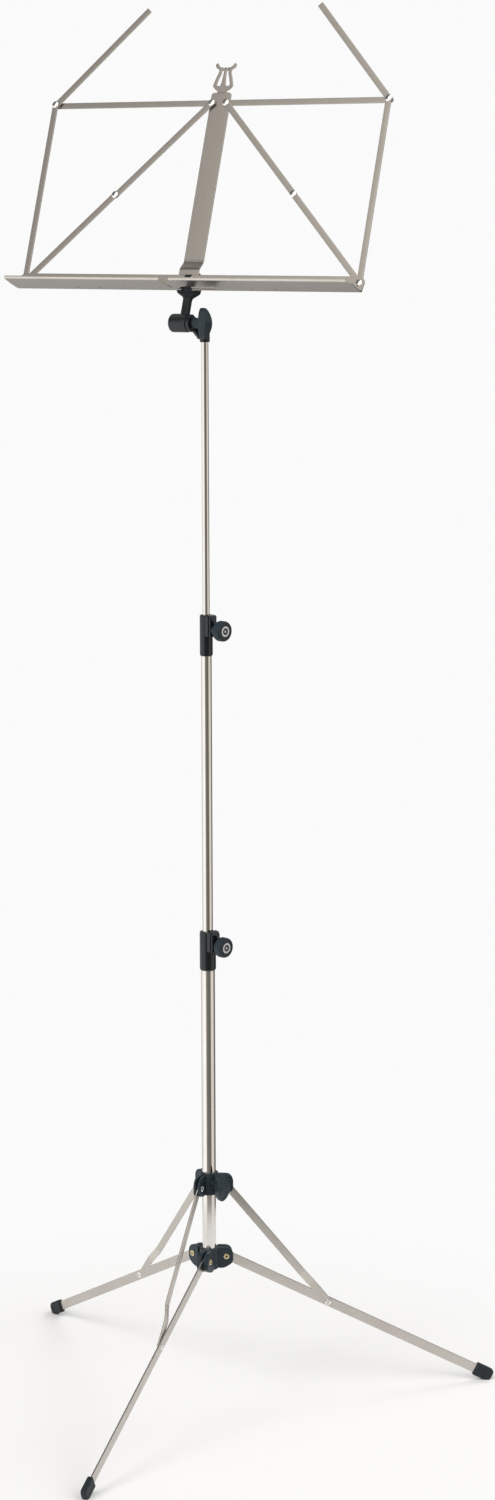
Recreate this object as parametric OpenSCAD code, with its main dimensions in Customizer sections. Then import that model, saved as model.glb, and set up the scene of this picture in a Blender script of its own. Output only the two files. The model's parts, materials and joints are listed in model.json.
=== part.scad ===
// Folding music stand: tripod base with a sliding spider, two telescoping sections and a
// folding wire-frame desk on a tilting holder. Millimetres, +Z up, the reader stands at -Y,
// the origin is on the floor under the pole.

/* [Pole] */
// Outer diameter of the lower tube
lower_tube_d = 18; // [16:0.5:20]
// Outer diameter of the middle tube
middle_tube_d = 13.5; // [12:0.5:14]
// Diameter of the top rod
rod_d = 9; // [7:0.5:9.5]
// Wall thickness of both tubes
tube_wall = 1; // [0.8:0.1:1.2]
// Height of the lower clamp's underside above the floor
lower_clamp_z = 573.6; // [560:1:600]
// Height of the upper clamp's underside above the floor
upper_clamp_z = 982; // [850:1:1010]
// Height of the desk's tilt axis above the floor
tilt_z = 1400; // [1250:1:1460]
// How far the middle tube reaches down inside the lower clamp and tube
middle_overlap = 92; // [80:1:94]
// How far the top rod reaches down inside the upper clamp and tube
rod_overlap = 136; // [90:1:140]

/* [Clamps and knobs] */
// Length of a pole clamp
clamp_len = 53; // [48:1:60]
// Wall of the clamp barrel around the tube it sits on
clamp_wall = 1.5; // [1.2:0.1:2.5]
// Compass angle of the clamp knobs, from +X towards +Y
clamp_turn = -17; // [-30:1:-5]
// Diameter of the round clamp knobs
knob_d = 26; // [22:1:28]
// Thickness of the round clamp knobs
knob_t = 11; // [9:0.5:13]
// Distance of the round knobs' outer face from the pole axis
knob_reach = 34.7; // [33:0.1:40]
// Diameter of the clamp screws
screw_d = 6; // [5:0.5:6]
// Height of the wing knobs
wing_h = 38; // [34:1:38]
// Width of the wing knobs
wing_w = 17; // [14:0.5:20]
// Thickness of the wing knobs
wing_t = 12; // [9:0.5:13]

/* [Tripod] */
// Compass angle of the first leg, from +X towards +Y
leg_turn = 34; // [30:1:38]
// Distance across the floor from a leg's pivot to the middle of its foot
leg_reach = 348; // [300:1:352]
// Height of the flat bar of a leg
leg_h = 12.5; // [11:0.5:13]
// Thickness of a leg
leg_t = 2.2; // [1.8:0.1:2.4]
// Distance from the leg's pivot to the strut's rivet
strut_at = 152; // [125:1:153]
// Width of a strut
strut_w = 10.2; // [9:0.1:10.6]
// Thickness of a strut
strut_t = 2; // [1.6:0.1:2.2]
// Sideways offset of the legs from the pole axis
leg_offset = 3.5; // [3.3:0.1:4.5]
// Radius at which the legs and struts are pivoted around the pole
pivot_r = 22; // [22:0.5:25]
// Height of the hub above the floor, at its underside
hub_z = 172; // [171:0.5:176]
// Height of the hub
hub_h = 28; // [26:0.5:32]
// Height of the spider above the floor, at its underside
spider_z = 274; // [268:1:280]
// Height of the spider
spider_h = 29; // [26:0.5:30]

/* [Desk] */
// Backward tilt of the desk from upright
desk_tilt = 20; // [5:1:60]
// Distance between the bottom pivot and the outer pivot of a half
ledge_link = 226; // [190:1:250]
// Distance between the bottom and the top pivots on the centre plate
plate_link = 235; // [205:1:260]
// Half the distance between the two pivots on the centre plate
pivot_half = 10; // [9.6:0.1:11]
// Width of the flat bars
bar_w = 7.8; // [6:0.1:8]
// Thickness of the flat bars
bar_t = 1.5; // [1.2:0.1:1.6]
// Length of a page arm from its rivet to its tip
arm_len = 170; // [120:1:180]
// Angle of the page arms from the top bars
arm_angle = 47.5; // [10:1:80]
// Depth of the ledge that the sheets stand on
ledge_depth = 39.5; // [32:0.5:48]
// Thickness of the ledge sheet
ledge_sheet = 1.2; // [1:0.1:1.4]
// Width of the centre plate
plate_w = 28; // [27:0.5:32]
// Thickness of the centre plate
plate_t = 1.5; // [1.2:0.1:1.8]
// Sideways offset of the desk's centre from the pole
desk_x = -17; // [-19:0.5:-17]
// Distance of the tilt axis in front of the pole
tilt_y = 23; // [22:0.5:28]

/* [Hidden] */
$fn = 48;
eps = 0.01;

// Clearances: parts pressed together, running fits and free gaps
press_gap = 0.05;
run_gap = 0.08;
slide_gap = 0.09;
free_gap = 0.3;

// Colours of the finishes
nickel = [0.70, 0.67, 0.63];
tube_nickel = [0.78, 0.76, 0.73];
bright = [0.90, 0.90, 0.90];
plastic = [0.12, 0.14, 0.16];
brass = [0.75, 0.65, 0.40];
rubber = [0.08, 0.09, 0.10];

// Radii of the pole
lower_r = lower_tube_d / 2;
middle_r = middle_tube_d / 2;
rod_r = rod_d / 2;
lower_bore = lower_r - tube_wall;
middle_bore = middle_r - tube_wall;
screw_r = screw_d / 2;

// Heights along the pole
lower_clamp_top = lower_clamp_z + clamp_len;
upper_clamp_top = upper_clamp_z + clamp_len;
clamp_seat = 25;            // length of tube inside the bottom of a clamp
clamp_lug_h = 28;           // height of the screw lug at the clamp's top
clamp_screw_z = 34;         // height of the screw above the clamp's underside
lower_tube_bottom = hub_z + 4;
lower_tube_top = lower_clamp_z + clamp_seat;
middle_tube_bottom = lower_clamp_top - middle_overlap;
middle_tube_top = upper_clamp_z + clamp_seat + 4;
rod_bottom = upper_clamp_top - rod_overlap;
fitting_bottom = tilt_z - 24;
rod_top = tilt_z - 1;
bush_len = 16;

// Tripod: pivots in the plane of a leg, as distance from the pole and height
pivot_z = hub_z + 16;
foot_d = leg_h + 5;
foot_flat = 0.5;            // how much of the cap's round is cut flat by the floor
foot_z = foot_d / 2 - foot_flat;
leg_drop = atan2(pivot_z - foot_z, leg_reach);
leg_len = leg_reach / cos(leg_drop);
spider_pivot_z = spider_z + 12;
rivet_r = pivot_r + strut_at * cos(leg_drop);
rivet_z = pivot_z - strut_at * sin(leg_drop);
strut_run = rivet_r - pivot_r;
strut_fall = spider_pivot_z - rivet_z;
strut_len = sqrt(strut_run * strut_run + strut_fall * strut_fall);
strut_lean = atan2(strut_run, strut_fall);
strut_end_t = leg_offset - leg_t / 2 - free_gap - strut_t / 2;
strut_main_t = strut_end_t - 5;
joggle_from = 34;           // distance of the joggle's lower bend from the rivet
joggle_to = 57;             // distance of its upper bend
eyelet_r = 2.5;
eyelet_bore = 1.3;
eyelet_head_r = 4;
eyelet_head_t = 1.2;
ear_reach = 9;              // how far an ear reaches past its pivot
hub_cheek = 6.6;
spider_cheek = 3.2;
hub_core_r = lower_r + 3.6;
slot_from = pivot_r - leg_h / 2 - 1.2;

// Layers of the desk, measured towards the reader from the back of the ledge flange
layer = bar_t + free_gap;
side_w = -layer;
arm_w = -2 * layer;
lower_brace_w = -2 * layer;
upper_brace_w = -3 * layer;
top_w = -4 * layer;
blade_w = -4 * layer - free_gap - plate_t;
tab_w = -free_gap - plate_t;
desk_rivet_r = 2.2;
desk_head_r = 4.3;
desk_head_h = 1.2;

// Desk geometry
desk_rise = 50.8;           // from the tilt axis up to the bottom pivots
desk_front = 8.3;           // from the tilt axis forward to the back of the flange
ledge_drop = 11;            // from the bottom pivots down to the shelf
flange_top = 8.4;           // from the bottom pivots up to the flange's top edge
brace_span = sqrt(ledge_link * ledge_link + plate_link * plate_link);
brace_lean = atan2(plate_link, ledge_link);
brace_upper_len = (brace_span + plate_link - ledge_link) / 2;
brace_lower_len = (brace_span - plate_link + ledge_link) / 2;
outer_u = pivot_half + ledge_link;
knee_u = pivot_half + brace_upper_len * cos(brace_lean);
knee_v = plate_link - brace_upper_len * sin(brace_lean);
plate_top = plate_link + 14.5;
joggle_low = 16;            // height of the plate's lower bend above the pivots
joggle_high = 28;           // height of its upper bend
lyre_r = 14;                // half the lyre's width at its foot
lyre_waist = 6.6;           // half its width where the arms meet the crossbar
lyre_v = plate_top + 8;     // height of its widest place
lyre_arm = 20.5;            // height of the crossbar above that place

// Tilt joint, along X: holder barrel, rod fitting, knob hub and wing
barrel_r = 11.5;
barrel_from = -18;          // ends of the barrel from the desk's centre
barrel_to = 7;
eye_from = desk_x + barrel_to + free_gap;
eye_t = 5;
wing_from = 7.2;            // inner face of the tilt wing from the pole axis

// ---------------------------------------------------------------- placing

// Turns a child from the plane of leg k, X away from the pole, Y across, Z up
module leg_frame(k) {
  rotate([0, 0, leg_turn + 120 * (k - 1)]) children();
}

// A flat shape drawn in a leg's plane as (distance, height), from t to t + thick across
module in_leg_plane(t, thick) {
  translate([0, t + thick, 0]) rotate([90, 0, 0]) linear_extrude(thick) children();
}

// A pin across a leg's plane at (r, z), from t to t + len
module across_leg(r, z, t) {
  translate([r, t, z]) rotate([-90, 0, 0]) children();
}

// The desk's frame: X across, -Y towards the reader, Z up along the desk
module desk_frame() {
  translate([desk_x, -tilt_y, tilt_z]) rotate([-desk_tilt, 0, 0])
    translate([0, -desk_front, desk_rise]) children();
}

// A flat shape drawn as (across, up), from w to w + thick towards the reader
module in_desk(w, thick) {
  translate([0, -w, 0]) rotate([90, 0, 0]) linear_extrude(thick) children();
}

// A pin along the desk's normal, starting at w
module out_of_desk(u, v, w) {
  translate([u, -w, v]) rotate([90, 0, 0]) children();
}

// One half of the desk: the right one as drawn, the left one mirrored
module half(side) {
  desk_frame() mirror([side == "left" ? 1 : 0, 0, 0]) children();
}

// Things that stand out from the pole towards the clamp knobs, X along the screw
module clamp_side(turn, z) {
  rotate([0, 0, turn]) translate([0, 0, z]) children();
}

// ---------------------------------------------------------------- shared shapes

// A bar with round ends between two points of a plane
module bar_outline(x1, y1, x2, y2, w) {
  len = sqrt((x2 - x1) * (x2 - x1) + (y2 - y1) * (y2 - y1));
  translate([x1, y1]) rotate(atan2(y2 - y1, x2 - x1)) {
    translate([0, -w / 2]) square([len, w]);
    circle(w / 2);
    translate([len, 0]) circle(w / 2);
  }
}

// A domed rivet head of radius r and height h on the XY plane
module dome(r, h) {
  ball = (r * r + h * h) / (2 * h);
  intersection() {
    translate([0, 0, h - ball]) sphere(ball, $fn = 64);
    cylinder(h = h + 1, r = r);
  }
}

// A tube along Z
module pipe(r, bore, h) {
  difference() {
    cylinder(h = h, r = r);
    translate([0, 0, -1]) cylinder(h = h + 2, r = bore);
  }
}

// A hollow rivet along Z with a rolled flange at each end
module eyelet(len) {
  difference() {
    union() {
      cylinder(h = len, r = eyelet_r);
      translate([0, 0, len]) eyelet_flange();
      mirror([0, 0, 1]) eyelet_flange();
    }
    translate([0, 0, -3]) cylinder(h = len + 6, r = eyelet_bore);
  }
}

// The rolled flange of a hollow rivet, on the XY plane
module eyelet_flange() {
  rotate_extrude($fn = 48) intersection() {
    square([eyelet_head_r, eyelet_head_t]);
    translate([eyelet_head_r - eyelet_head_t * 1.3, 0]) union() {
      translate([-eyelet_head_r, 0]) square([eyelet_head_r, eyelet_head_t]);
      circle(eyelet_head_t * 1.3, $fn = 32);
    }
  }
}

// A plain screw shank along X from x1 to x2
module shank(x1, x2, r) {
  translate([x1, 0, 0]) rotate([0, 90, 0]) cylinder(h = x2 - x1, r = r);
}

// A wing knob's outline: two arcs that meet in round tips, long side along Y
module wing_outline() {
  half_w = wing_w / 2;
  half_tip = wing_h / 2 / 0.88;
  arc = (half_tip * half_tip + half_w * half_w) / (2 * half_w);
  intersection() {
    translate([arc - half_w, 0]) circle(arc, $fn = 96);
    translate([half_w - arc, 0]) circle(arc, $fn = 96);
    square([wing_w, wing_h], center = true);
  }
}

// A wing knob with its hub along X: hub from x1, wing from x2
module wing_knob(x1, x2, bore) {
  difference() {
    union() {
      shank(x1, x2 + 1, 6.3);
      translate([x2, 0, 0]) rotate([90, 0, 90]) linear_extrude(wing_t) wing_outline();
    }
    shank(x1 - 1, x2 + wing_t - 3, bore);
    // bevels along the outer face, on both sides of the wing
    for (side = [-1, 1]) translate([x2 + wing_t, side * wing_w / 2, 0])
      rotate([0, 0, 45]) cube([4, 4, wing_h + 2], center = true);
  }
}

// ---------------------------------------------------------------- tripod base

module lower_tube() color(tube_nickel)
  translate([0, 0, lower_tube_bottom])
    pipe(lower_r, lower_bore, lower_tube_top - lower_tube_bottom);

// One ear: two cheeks around a slot, with a hole for the eyelet
module ear(offset_t, cheek, slot_t, z1, z2, pz, bevel) {
  reach = pivot_r + ear_reach;
  half_t = slot_t / 2 + cheek;
  difference() {
    in_leg_plane(offset_t - half_t, 2 * half_t)
      polygon([[lower_r + 1, z1], [pivot_r - 2, z1], [reach, z1 + bevel],
        [reach, z2 - 6], [reach - 5, z2 - 1], [pivot_r - 4, z2], [lower_r + 1, z2]]);
    in_leg_plane(offset_t - slot_t / 2, slot_t)
      translate([slot_from, z1 - 1]) square([reach, z2 - z1 + 2]);
    across_leg(pivot_r, pz, offset_t - half_t - 1)
      cylinder(h = 2 * half_t + 2, r = eyelet_r + press_gap);
  }
}

module base_hub() color(plastic) difference() {
  union() {
    translate([0, 0, hub_z]) cylinder(h = hub_h, r = hub_core_r);
    for (k = [1:3]) leg_frame(k)
      ear(leg_offset, hub_cheek, leg_t + 2 * free_gap, hub_z, hub_z + hub_h, pivot_z, 7);
  }
  // the leg slots run on past the neighbouring ears
  for (k = [1:3]) leg_frame(k)
    in_leg_plane(leg_offset - leg_t / 2 - free_gap, leg_t + 2 * free_gap)
      translate([slot_from, hub_z - 1]) square([40, hub_h + 2]);
  translate([0, 0, lower_tube_bottom]) cylinder(h = hub_h, r = lower_r + press_gap);
}

module hub_eyelets() color(brass) for (k = [1:3]) leg_frame(k) {
  half_t = leg_t / 2 + free_gap + hub_cheek;
  across_leg(pivot_r, pivot_z, leg_offset - half_t) eyelet(2 * half_t);
}

// A leg's outline in its own plane
module leg_outline() {
  end_r = pivot_r + leg_len * cos(leg_drop);
  end_z = pivot_z - leg_len * sin(leg_drop);
  difference() {
    bar_outline(pivot_r, pivot_z, end_r, end_z, leg_h);
    translate([pivot_r, pivot_z]) circle(eyelet_r + run_gap);
    translate([rivet_r, rivet_z]) circle(eyelet_r + press_gap);
  }
}

module leg(k) color(nickel) leg_frame(k)
  in_leg_plane(leg_offset - leg_t / 2, leg_t) leg_outline();

// A rubber cap on the end of a leg, flat where it stands on the floor
module foot(k) color(rubber) leg_frame(k) {
  end_r = pivot_r + leg_len * cos(leg_drop);
  end_z = pivot_z - leg_len * sin(leg_drop);
  cap_t = leg_t + 5.6;
  back = 17;
  start_r = end_r - back * cos(leg_drop);
  start_z = end_z + back * sin(leg_drop);
  difference() {
    in_leg_plane(leg_offset - cap_t / 2, cap_t) intersection() {
      bar_outline(start_r, start_z, end_r, end_z, foot_d);
      square([500, 200]);
    }
    in_leg_plane(leg_offset - leg_t / 2 - press_gap, leg_t + 2 * press_gap)
      bar_outline(rivet_r, rivet_z, end_r, end_z, leg_h + 2 * press_gap);
  }
}

module leg_rivet(k) color(bright) leg_frame(k) {
  t1 = strut_end_t - strut_t / 2 - free_gap;
  t2 = leg_offset + leg_t / 2;
  across_leg(rivet_r, rivet_z, t1) eyelet(t2 - t1);
}

// A strut: a flat bar whose lower end is joggled over towards its leg
module strut(k) color(nickel) leg_frame(k)
  translate([rivet_r, 0, rivet_z]) rotate([0, -strut_lean, 0]) {
    half_t = strut_t / 2;
    difference() {
      intersection() {
        // the bar's edge, seen along its width
        translate([-strut_w, 0, 0]) rotate([90, 0, 90]) linear_extrude(2 * strut_w)
          polygon([
            [strut_end_t - half_t, -strut_w], [strut_end_t + half_t, -strut_w],
            [strut_end_t + half_t, joggle_from], [strut_main_t + half_t, joggle_to],
            [strut_main_t + half_t, strut_len + strut_w],
            [strut_main_t - half_t, strut_len + strut_w],
            [strut_main_t - half_t, joggle_to], [strut_end_t - half_t, joggle_from]]);
        // the bar's outline, seen across it
        translate([0, strut_main_t + 20, 0]) rotate([90, 0, 0]) linear_extrude(40)
          bar_outline(0, 0, 0, strut_len, strut_w);
      }
      for (z = [0, strut_len]) translate([0, -20, z]) rotate([-90, 0, 0])
        cylinder(h = 40, r = eyelet_r + run_gap);
    }
  }

// ---------------------------------------------------------------- sliding spider

module spider() color(plastic) difference() {
  slot_t = strut_t + 2 * free_gap;
  union() {
    translate([0, 0, spider_z]) cylinder(h = spider_h, r = lower_r + 4);
    for (k = [1:3]) leg_frame(k)
      ear(strut_main_t, spider_cheek, slot_t, spider_z, spider_z + spider_h - 2,
        spider_pivot_z, 4);
    clamp_side(spider_turn, spider_pivot_z + 3) shank(0, lower_r + 6.5, 7);
  }
  for (k = [1:3]) leg_frame(k)
    in_leg_plane(strut_main_t - slot_t / 2, slot_t)
      translate([slot_from, spider_z - 1]) square([40, spider_h + 2]);
  translate([0, 0, spider_z - 1]) cylinder(h = spider_h + 2, r = lower_r + slide_gap);
  clamp_side(spider_turn, spider_pivot_z + 3) shank(0, 40, screw_r + slide_gap);
}

// The struts' rivets in the spider's cheeks; the slot between them stays clear
module spider_eyelets() color(bright) for (k = [1:3]) leg_frame(k) {
  slot_half = strut_t / 2 + free_gap;
  for (side = [-1, 1])
    across_leg(pivot_r, spider_pivot_z, strut_main_t + side * slot_half)
      rotate([side > 0 ? 0 : 180, 0, 0]) difference() {
        union() {
          cylinder(h = spider_cheek, r = eyelet_r);
          translate([0, 0, spider_cheek]) eyelet_flange();
        }
        translate([0, 0, -1]) cylinder(h = spider_cheek + 4, r = eyelet_bore);
      }
}

spider_turn = leg_turn - 60;
spider_wing_at = lower_r + 15;

module spider_knob() color(plastic) clamp_side(spider_turn, spider_pivot_z + 3)
  wing_knob(lower_r + 6.5 + free_gap, spider_wing_at, screw_r + press_gap);

module spider_knob_screw() color(bright) clamp_side(spider_turn, spider_pivot_z + 3)
  shank(lower_r + free_gap, spider_wing_at + wing_t - 3, screw_r);

// ---------------------------------------------------------------- pole clamps

// A clamp: barrel over tube_r, throat for pin_r, screw lug to lug_end, nut pocket
module clamp_body(tube_r, pin_r, lug_end, lug_half, slope) {
  nut_at = lug_end - 5.2;
  difference() {
    union() {
      cylinder(h = clamp_len - slope / 2, r = tube_r + clamp_wall);
      translate([0, 0, clamp_len - clamp_lug_h]) intersection() {
        translate([0, -lug_half, 0]) cube([lug_end, 2 * lug_half, clamp_lug_h]);
        rotate([90, 0, 0]) translate([0, 0, -lug_half]) linear_extrude(2 * lug_half)
          polygon([[0, 0], [lug_end, 0], [lug_end, clamp_lug_h - slope],
            [tube_r, clamp_lug_h], [0, clamp_lug_h]]);
      }
    }
    translate([0, 0, -1]) cylinder(h = clamp_seat + 1, r = tube_r + press_gap);
    translate([0, 0, -1]) cylinder(h = clamp_len + 2, r = pin_r + slide_gap);
    translate([0, 0, clamp_screw_z]) shank(0, lug_end + 1, screw_r + slide_gap);
    // pocket for the square nut, open below
    translate([nut_at, -nut_w / 2 - press_gap, clamp_len - clamp_lug_h - 1])
      cube([nut_t + 2 * press_gap, nut_w + 2 * press_gap,
        clamp_screw_z + nut_w / 2 + press_gap - clamp_len + clamp_lug_h + 1]);
  }
}

nut_w = 9.5;
nut_t = 3;
lower_lug = lower_r + 7;
lower_lug_half = 7;
upper_lug = middle_r + 7;
upper_lug_half = 6;

// A square nut in a clamp's pocket
module clamp_nut(lug_end) difference() {
  translate([lug_end - 5.2 + press_gap, -nut_w / 2, clamp_screw_z - nut_w / 2])
    cube([nut_t, nut_w, nut_w]);
  translate([0, 0, clamp_screw_z]) shank(0, lug_end, screw_r + press_gap);
}

module lower_clamp() color(plastic) clamp_side(clamp_turn, lower_clamp_z)
  clamp_body(lower_r, middle_r, lower_lug, lower_lug_half, 4);

module lower_clamp_nut() color(brass) clamp_side(clamp_turn, lower_clamp_z)
  clamp_nut(lower_lug);

module upper_clamp() color(plastic) clamp_side(clamp_turn, upper_clamp_z)
  difference() {
    clamp_body(middle_r, rod_r, upper_lug, upper_lug_half, 1);
    // the middle tube stands a little higher in this clamp
    cylinder(h = middle_tube_top - upper_clamp_z, r = middle_r + press_gap);
  }

module upper_clamp_nut() color(brass) clamp_side(clamp_turn, upper_clamp_z)
  clamp_nut(upper_lug);

// A round clamp knob along X with fine grip grooves and a recess for its badge
module round_knob(lug_end) {
  grooves = 30;
  badge_r = knob_d / 2 - 5;
  start = knob_reach - knob_t;
  difference() {
    union() {
      shank(lug_end + free_gap, start + 1, 6);
      translate([start, 0, 0]) rotate([0, 90, 0]) rotate_extrude($fn = 96)
        polygon([[0, 0], [knob_d / 2 - 1, 0], [knob_d / 2, 1], [knob_d / 2, knob_t - 2.2],
          [knob_d / 2 - 2.6, knob_t], [0, knob_t]]);
    }
    for (i = [0:grooves - 1]) rotate([i * 360 / grooves, 0, 0])
      translate([start - 1, 0, knob_d / 2 + 0.35]) rotate([0, 90, 0])
        cylinder(h = knob_t - 0.6, r = 0.8, $fn = 16);
    shank(knob_reach - badge_t, knob_reach + 1, badge_r + press_gap);
    shank(0, knob_reach - 4, screw_r + press_gap);
  }
}

badge_t = 0.9;

// A plain round badge with a raised ring
module badge() {
  badge_r = knob_d / 2 - 5;
  translate([knob_reach - badge_t, 0, 0]) rotate([0, 90, 0]) difference() {
    cylinder(h = badge_t, r = badge_r);
    translate([0, 0, badge_t - 0.3]) pipe(badge_r - 1.5, badge_r - 3.6, 1);
  }
}

// The clamp screw: fixed in the knob, its tip just clear of the tube
module clamp_screw(tube_r)
  shank(tube_r + free_gap, knob_reach - 4, screw_r);

module lower_knob() color(plastic) clamp_side(clamp_turn, lower_clamp_z + clamp_screw_z)
  round_knob(lower_lug);

module lower_knob_badge() color(bright)
  clamp_side(clamp_turn, lower_clamp_z + clamp_screw_z) badge();

module lower_knob_screw() color(bright)
  clamp_side(clamp_turn, lower_clamp_z + clamp_screw_z) clamp_screw(middle_r);

module upper_knob() color(plastic) clamp_side(clamp_turn, upper_clamp_z + clamp_screw_z)
  round_knob(upper_lug);

module upper_knob_badge() color(bright)
  clamp_side(clamp_turn, upper_clamp_z + clamp_screw_z) badge();

module upper_knob_screw() color(bright)
  clamp_side(clamp_turn, upper_clamp_z + clamp_screw_z) clamp_screw(rod_r);

// ---------------------------------------------------------------- telescoping pole

// A guide bush: a ring on the end of the inner tube that runs in the outer one
module guide_bush(inner_r, outer_bore, z) {
  translate([0, 0, z - 2]) pipe(outer_bore - run_gap, inner_r - 1.2, 2 - free_gap);
  translate([0, 0, z - free_gap - eps])
    pipe(outer_bore - run_gap, inner_r + slide_gap - 0.04, bush_len + free_gap);
}

module middle_bush() color(plastic)
  guide_bush(middle_r, lower_bore, middle_tube_bottom);

module middle_tube() color(tube_nickel) translate([0, 0, middle_tube_bottom])
  pipe(middle_r, middle_bore, middle_tube_top - middle_tube_bottom);

module rod_bush() color(plastic) guide_bush(rod_r, middle_bore, rod_bottom);

module top_rod() color(tube_nickel) translate([0, 0, rod_bottom])
  cylinder(h = rod_top - rod_bottom, r = rod_r);

// ---------------------------------------------------------------- tilt joint

// The plastic head on the rod: a socket, and an eye on the tilt axis in front of it
module tilt_fitting() color(plastic) {
  socket_r = rod_r + 1.8;
  difference() {
    union() {
      translate([0, 0, fitting_bottom]) cylinder(h = tilt_z + 4 - fitting_bottom, r = socket_r);
      translate([eye_from, -tilt_y, tilt_z]) rotate([0, 90, 0])
        cylinder(h = eye_t, r = barrel_r - 0.6);
      translate([eye_from, 0, 0]) rotate([90, 0, 90]) linear_extrude(eye_t)
        polygon([[-tilt_y, tilt_z + 8], [-tilt_y, tilt_z - 8], [-tilt_y + 6, tilt_z - 10],
          [0, fitting_bottom + 3], [3, tilt_z + 4], [-tilt_y + 10, tilt_z + 7]]);
      translate([eye_from, -3, fitting_bottom + 3])
        cube([-eye_from, 6, tilt_z + 4 - fitting_bottom - 3]);
    }
    translate([0, 0, fitting_bottom - 1])
      cylinder(h = rod_top - fitting_bottom + 1 + press_gap, r = rod_r + press_gap);
    translate([eye_from - 1, -tilt_y, tilt_z]) rotate([0, 90, 0])
      cylinder(h = eye_t + 2, r = screw_r + slide_gap);
  }
}

// The desk's plastic holder: head behind the plate, flare, neck and tilt barrel
module desk_holder() color(plastic) desk_frame() {
  head_half = plate_w / 2 + 1;
  neck_half = 4.6;
  neck_t = 9;
  axis_v = -desk_rise;
  axis_w = -desk_front;
  difference() {
    union() {
      in_desk(axis_w - neck_t / 2, neck_t) polygon([
        [-head_half, 12], [-head_half, -ledge_drop - 1.6], [-neck_half, -ledge_drop - 8],
        [-neck_half, axis_v], [neck_half, axis_v], [neck_half, -ledge_drop - 8],
        [head_half, -ledge_drop - 1.6], [head_half, 12]]);
      in_desk(axis_w, tab_w - axis_w) translate([-plate_w / 2, -ledge_drop - 1.6])
        square([plate_w, 12 + ledge_drop + 1.6]);
      in_desk(axis_w, -free_gap - axis_w) translate([-5, -5.5]) square([10, 14.5]);
      translate([barrel_from, -axis_w, axis_v]) rotate([0, 90, 0]) rotate_extrude($fn = 96)
        polygon(concat([[0, 0]],
          [for (a = [0:15:90]) [barrel_r - 4 + 4 * sin(a), 4 - 4 * cos(a)]],
          [[barrel_r, barrel_to - barrel_from], [0, barrel_to - barrel_from]]));
    }
    translate([barrel_from - 1, -axis_w, axis_v]) rotate([0, 90, 0])
      cylinder(h = 60, r = screw_r + slide_gap);
    translate([barrel_from - 1, -axis_w, axis_v]) rotate([0, 90, 0])
      cylinder(h = 5, r = 5.5 + press_gap, $fn = 6);
    for (side = [-1, 1]) out_of_desk(side * pivot_half, 0, axis_w - neck_t)
      cylinder(h = 20, r = desk_rivet_r + press_gap);
  }
}

module tilt_nut() color(brass) desk_frame()
  translate([barrel_from + 0.4, desk_front, -desk_rise]) rotate([0, 90, 0]) difference() {
    cylinder(h = 3.6, r = 5.5, $fn = 6);
    translate([0, 0, -1]) cylinder(h = 6, r = screw_r + press_gap);
  }

module tilt_knob() color(plastic) translate([0, -tilt_y, tilt_z])
  wing_knob(eye_from + eye_t + free_gap, wing_from, screw_r + press_gap);

module tilt_screw() color(bright) translate([0, -tilt_y, tilt_z])
  shank(desk_x + barrel_from + 0.4, wing_from + wing_t - 3, screw_r);

// ---------------------------------------------------------------- desk: centre

// One side of an outline and its mirror image, as a closed list of points
function both_sides(side) =
  concat(side, [for (i = [len(side) - 1:-1:0]) [-side[i][0], side[i][1]]]);

// The lyre that crowns the plate: a solid foot, two arms that lean in, horns and a string
module lyre() {
  band = 3.6;
  neck = 6.2;
  horn_top = lyre_arm + 7.3;
  polygon(both_sides([[neck, -9], [neck + 0.4, -5.5], [lyre_r - 0.2, -0.5], [lyre_r, 1.5],
    [lyre_r - band, 2.5], [4, 0.5]]));
  for (side = [-1, 1]) {
    polygon([[side * lyre_r, 1], [side * (lyre_waist + band / 2), lyre_arm],
      [side * (lyre_waist - band / 2), lyre_arm], [side * (lyre_r - band), 1]]);
    polygon([[side * (lyre_waist - band / 2), lyre_arm - 1],
      [side * (lyre_waist + band / 2), lyre_arm - 1], [side * (lyre_r - 0.2), horn_top - 2],
      [side * (lyre_r - 2), horn_top + 1], [side * lyre_waist, lyre_arm + 4]]);
    translate([side * (lyre_r - 1.8), horn_top]) circle(2.2, $fn = 32);
  }
  translate([-lyre_waist, lyre_arm]) square([2 * lyre_waist, 3.4]);
  for (x = [-4, 0, 4]) translate([x, lyre_arm + 3.2]) circle(1.5, $fn = 24);
  polygon([[-3.6, 0], [-1.5, lyre_arm + 1], [1.5, lyre_arm + 1], [3.6, 0]]);
}

// The plate's outline below the lyre: tab with two ears, blade with round shoulders
module plate_outline() {
  half_w = plate_w / 2;
  corner = 4;
  difference() {
    union() {
      translate([-half_w, -6]) square([plate_w, plate_top + 6 - corner]);
      translate([-half_w + corner, 0]) square([plate_w - 2 * corner, plate_top]);
      for (side = [-1, 1]) translate([side * (half_w - corner), plate_top - corner])
        circle(corner);
    }
    translate([-5 - press_gap, -7]) square([10 + 2 * press_gap, 16 + press_gap]);
    for (side = [-1, 1]) {
      translate([side * pivot_half, 0]) circle(desk_rivet_r + press_gap);
      translate([side * pivot_half, plate_link]) circle(desk_rivet_r + press_gap);
    }
  }
}

// The plate is one sheet: the edge seen from the side, cut to the outline, and the lyre
module centre_plate() color(nickel) desk_frame() {
  intersection() {
    rotate([90, 0, 90]) translate([0, 0, -40]) linear_extrude(80)
      polygon([
        [-tab_w, -10], [-tab_w - plate_t, -10], [-tab_w - plate_t, joggle_low],
        [-blade_w - plate_t, joggle_high], [-blade_w - plate_t, plate_top + 9],
        [-blade_w, plate_top + 9], [-blade_w, joggle_high], [-tab_w, joggle_low]]);
    in_desk(-20, 20) plate_outline();
  }
  in_desk(blade_w, plate_t) {
    translate([-6.7, plate_top - 3]) square([13.4, 6]);
    translate([0, lyre_v]) lyre();
  }
}

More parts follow.
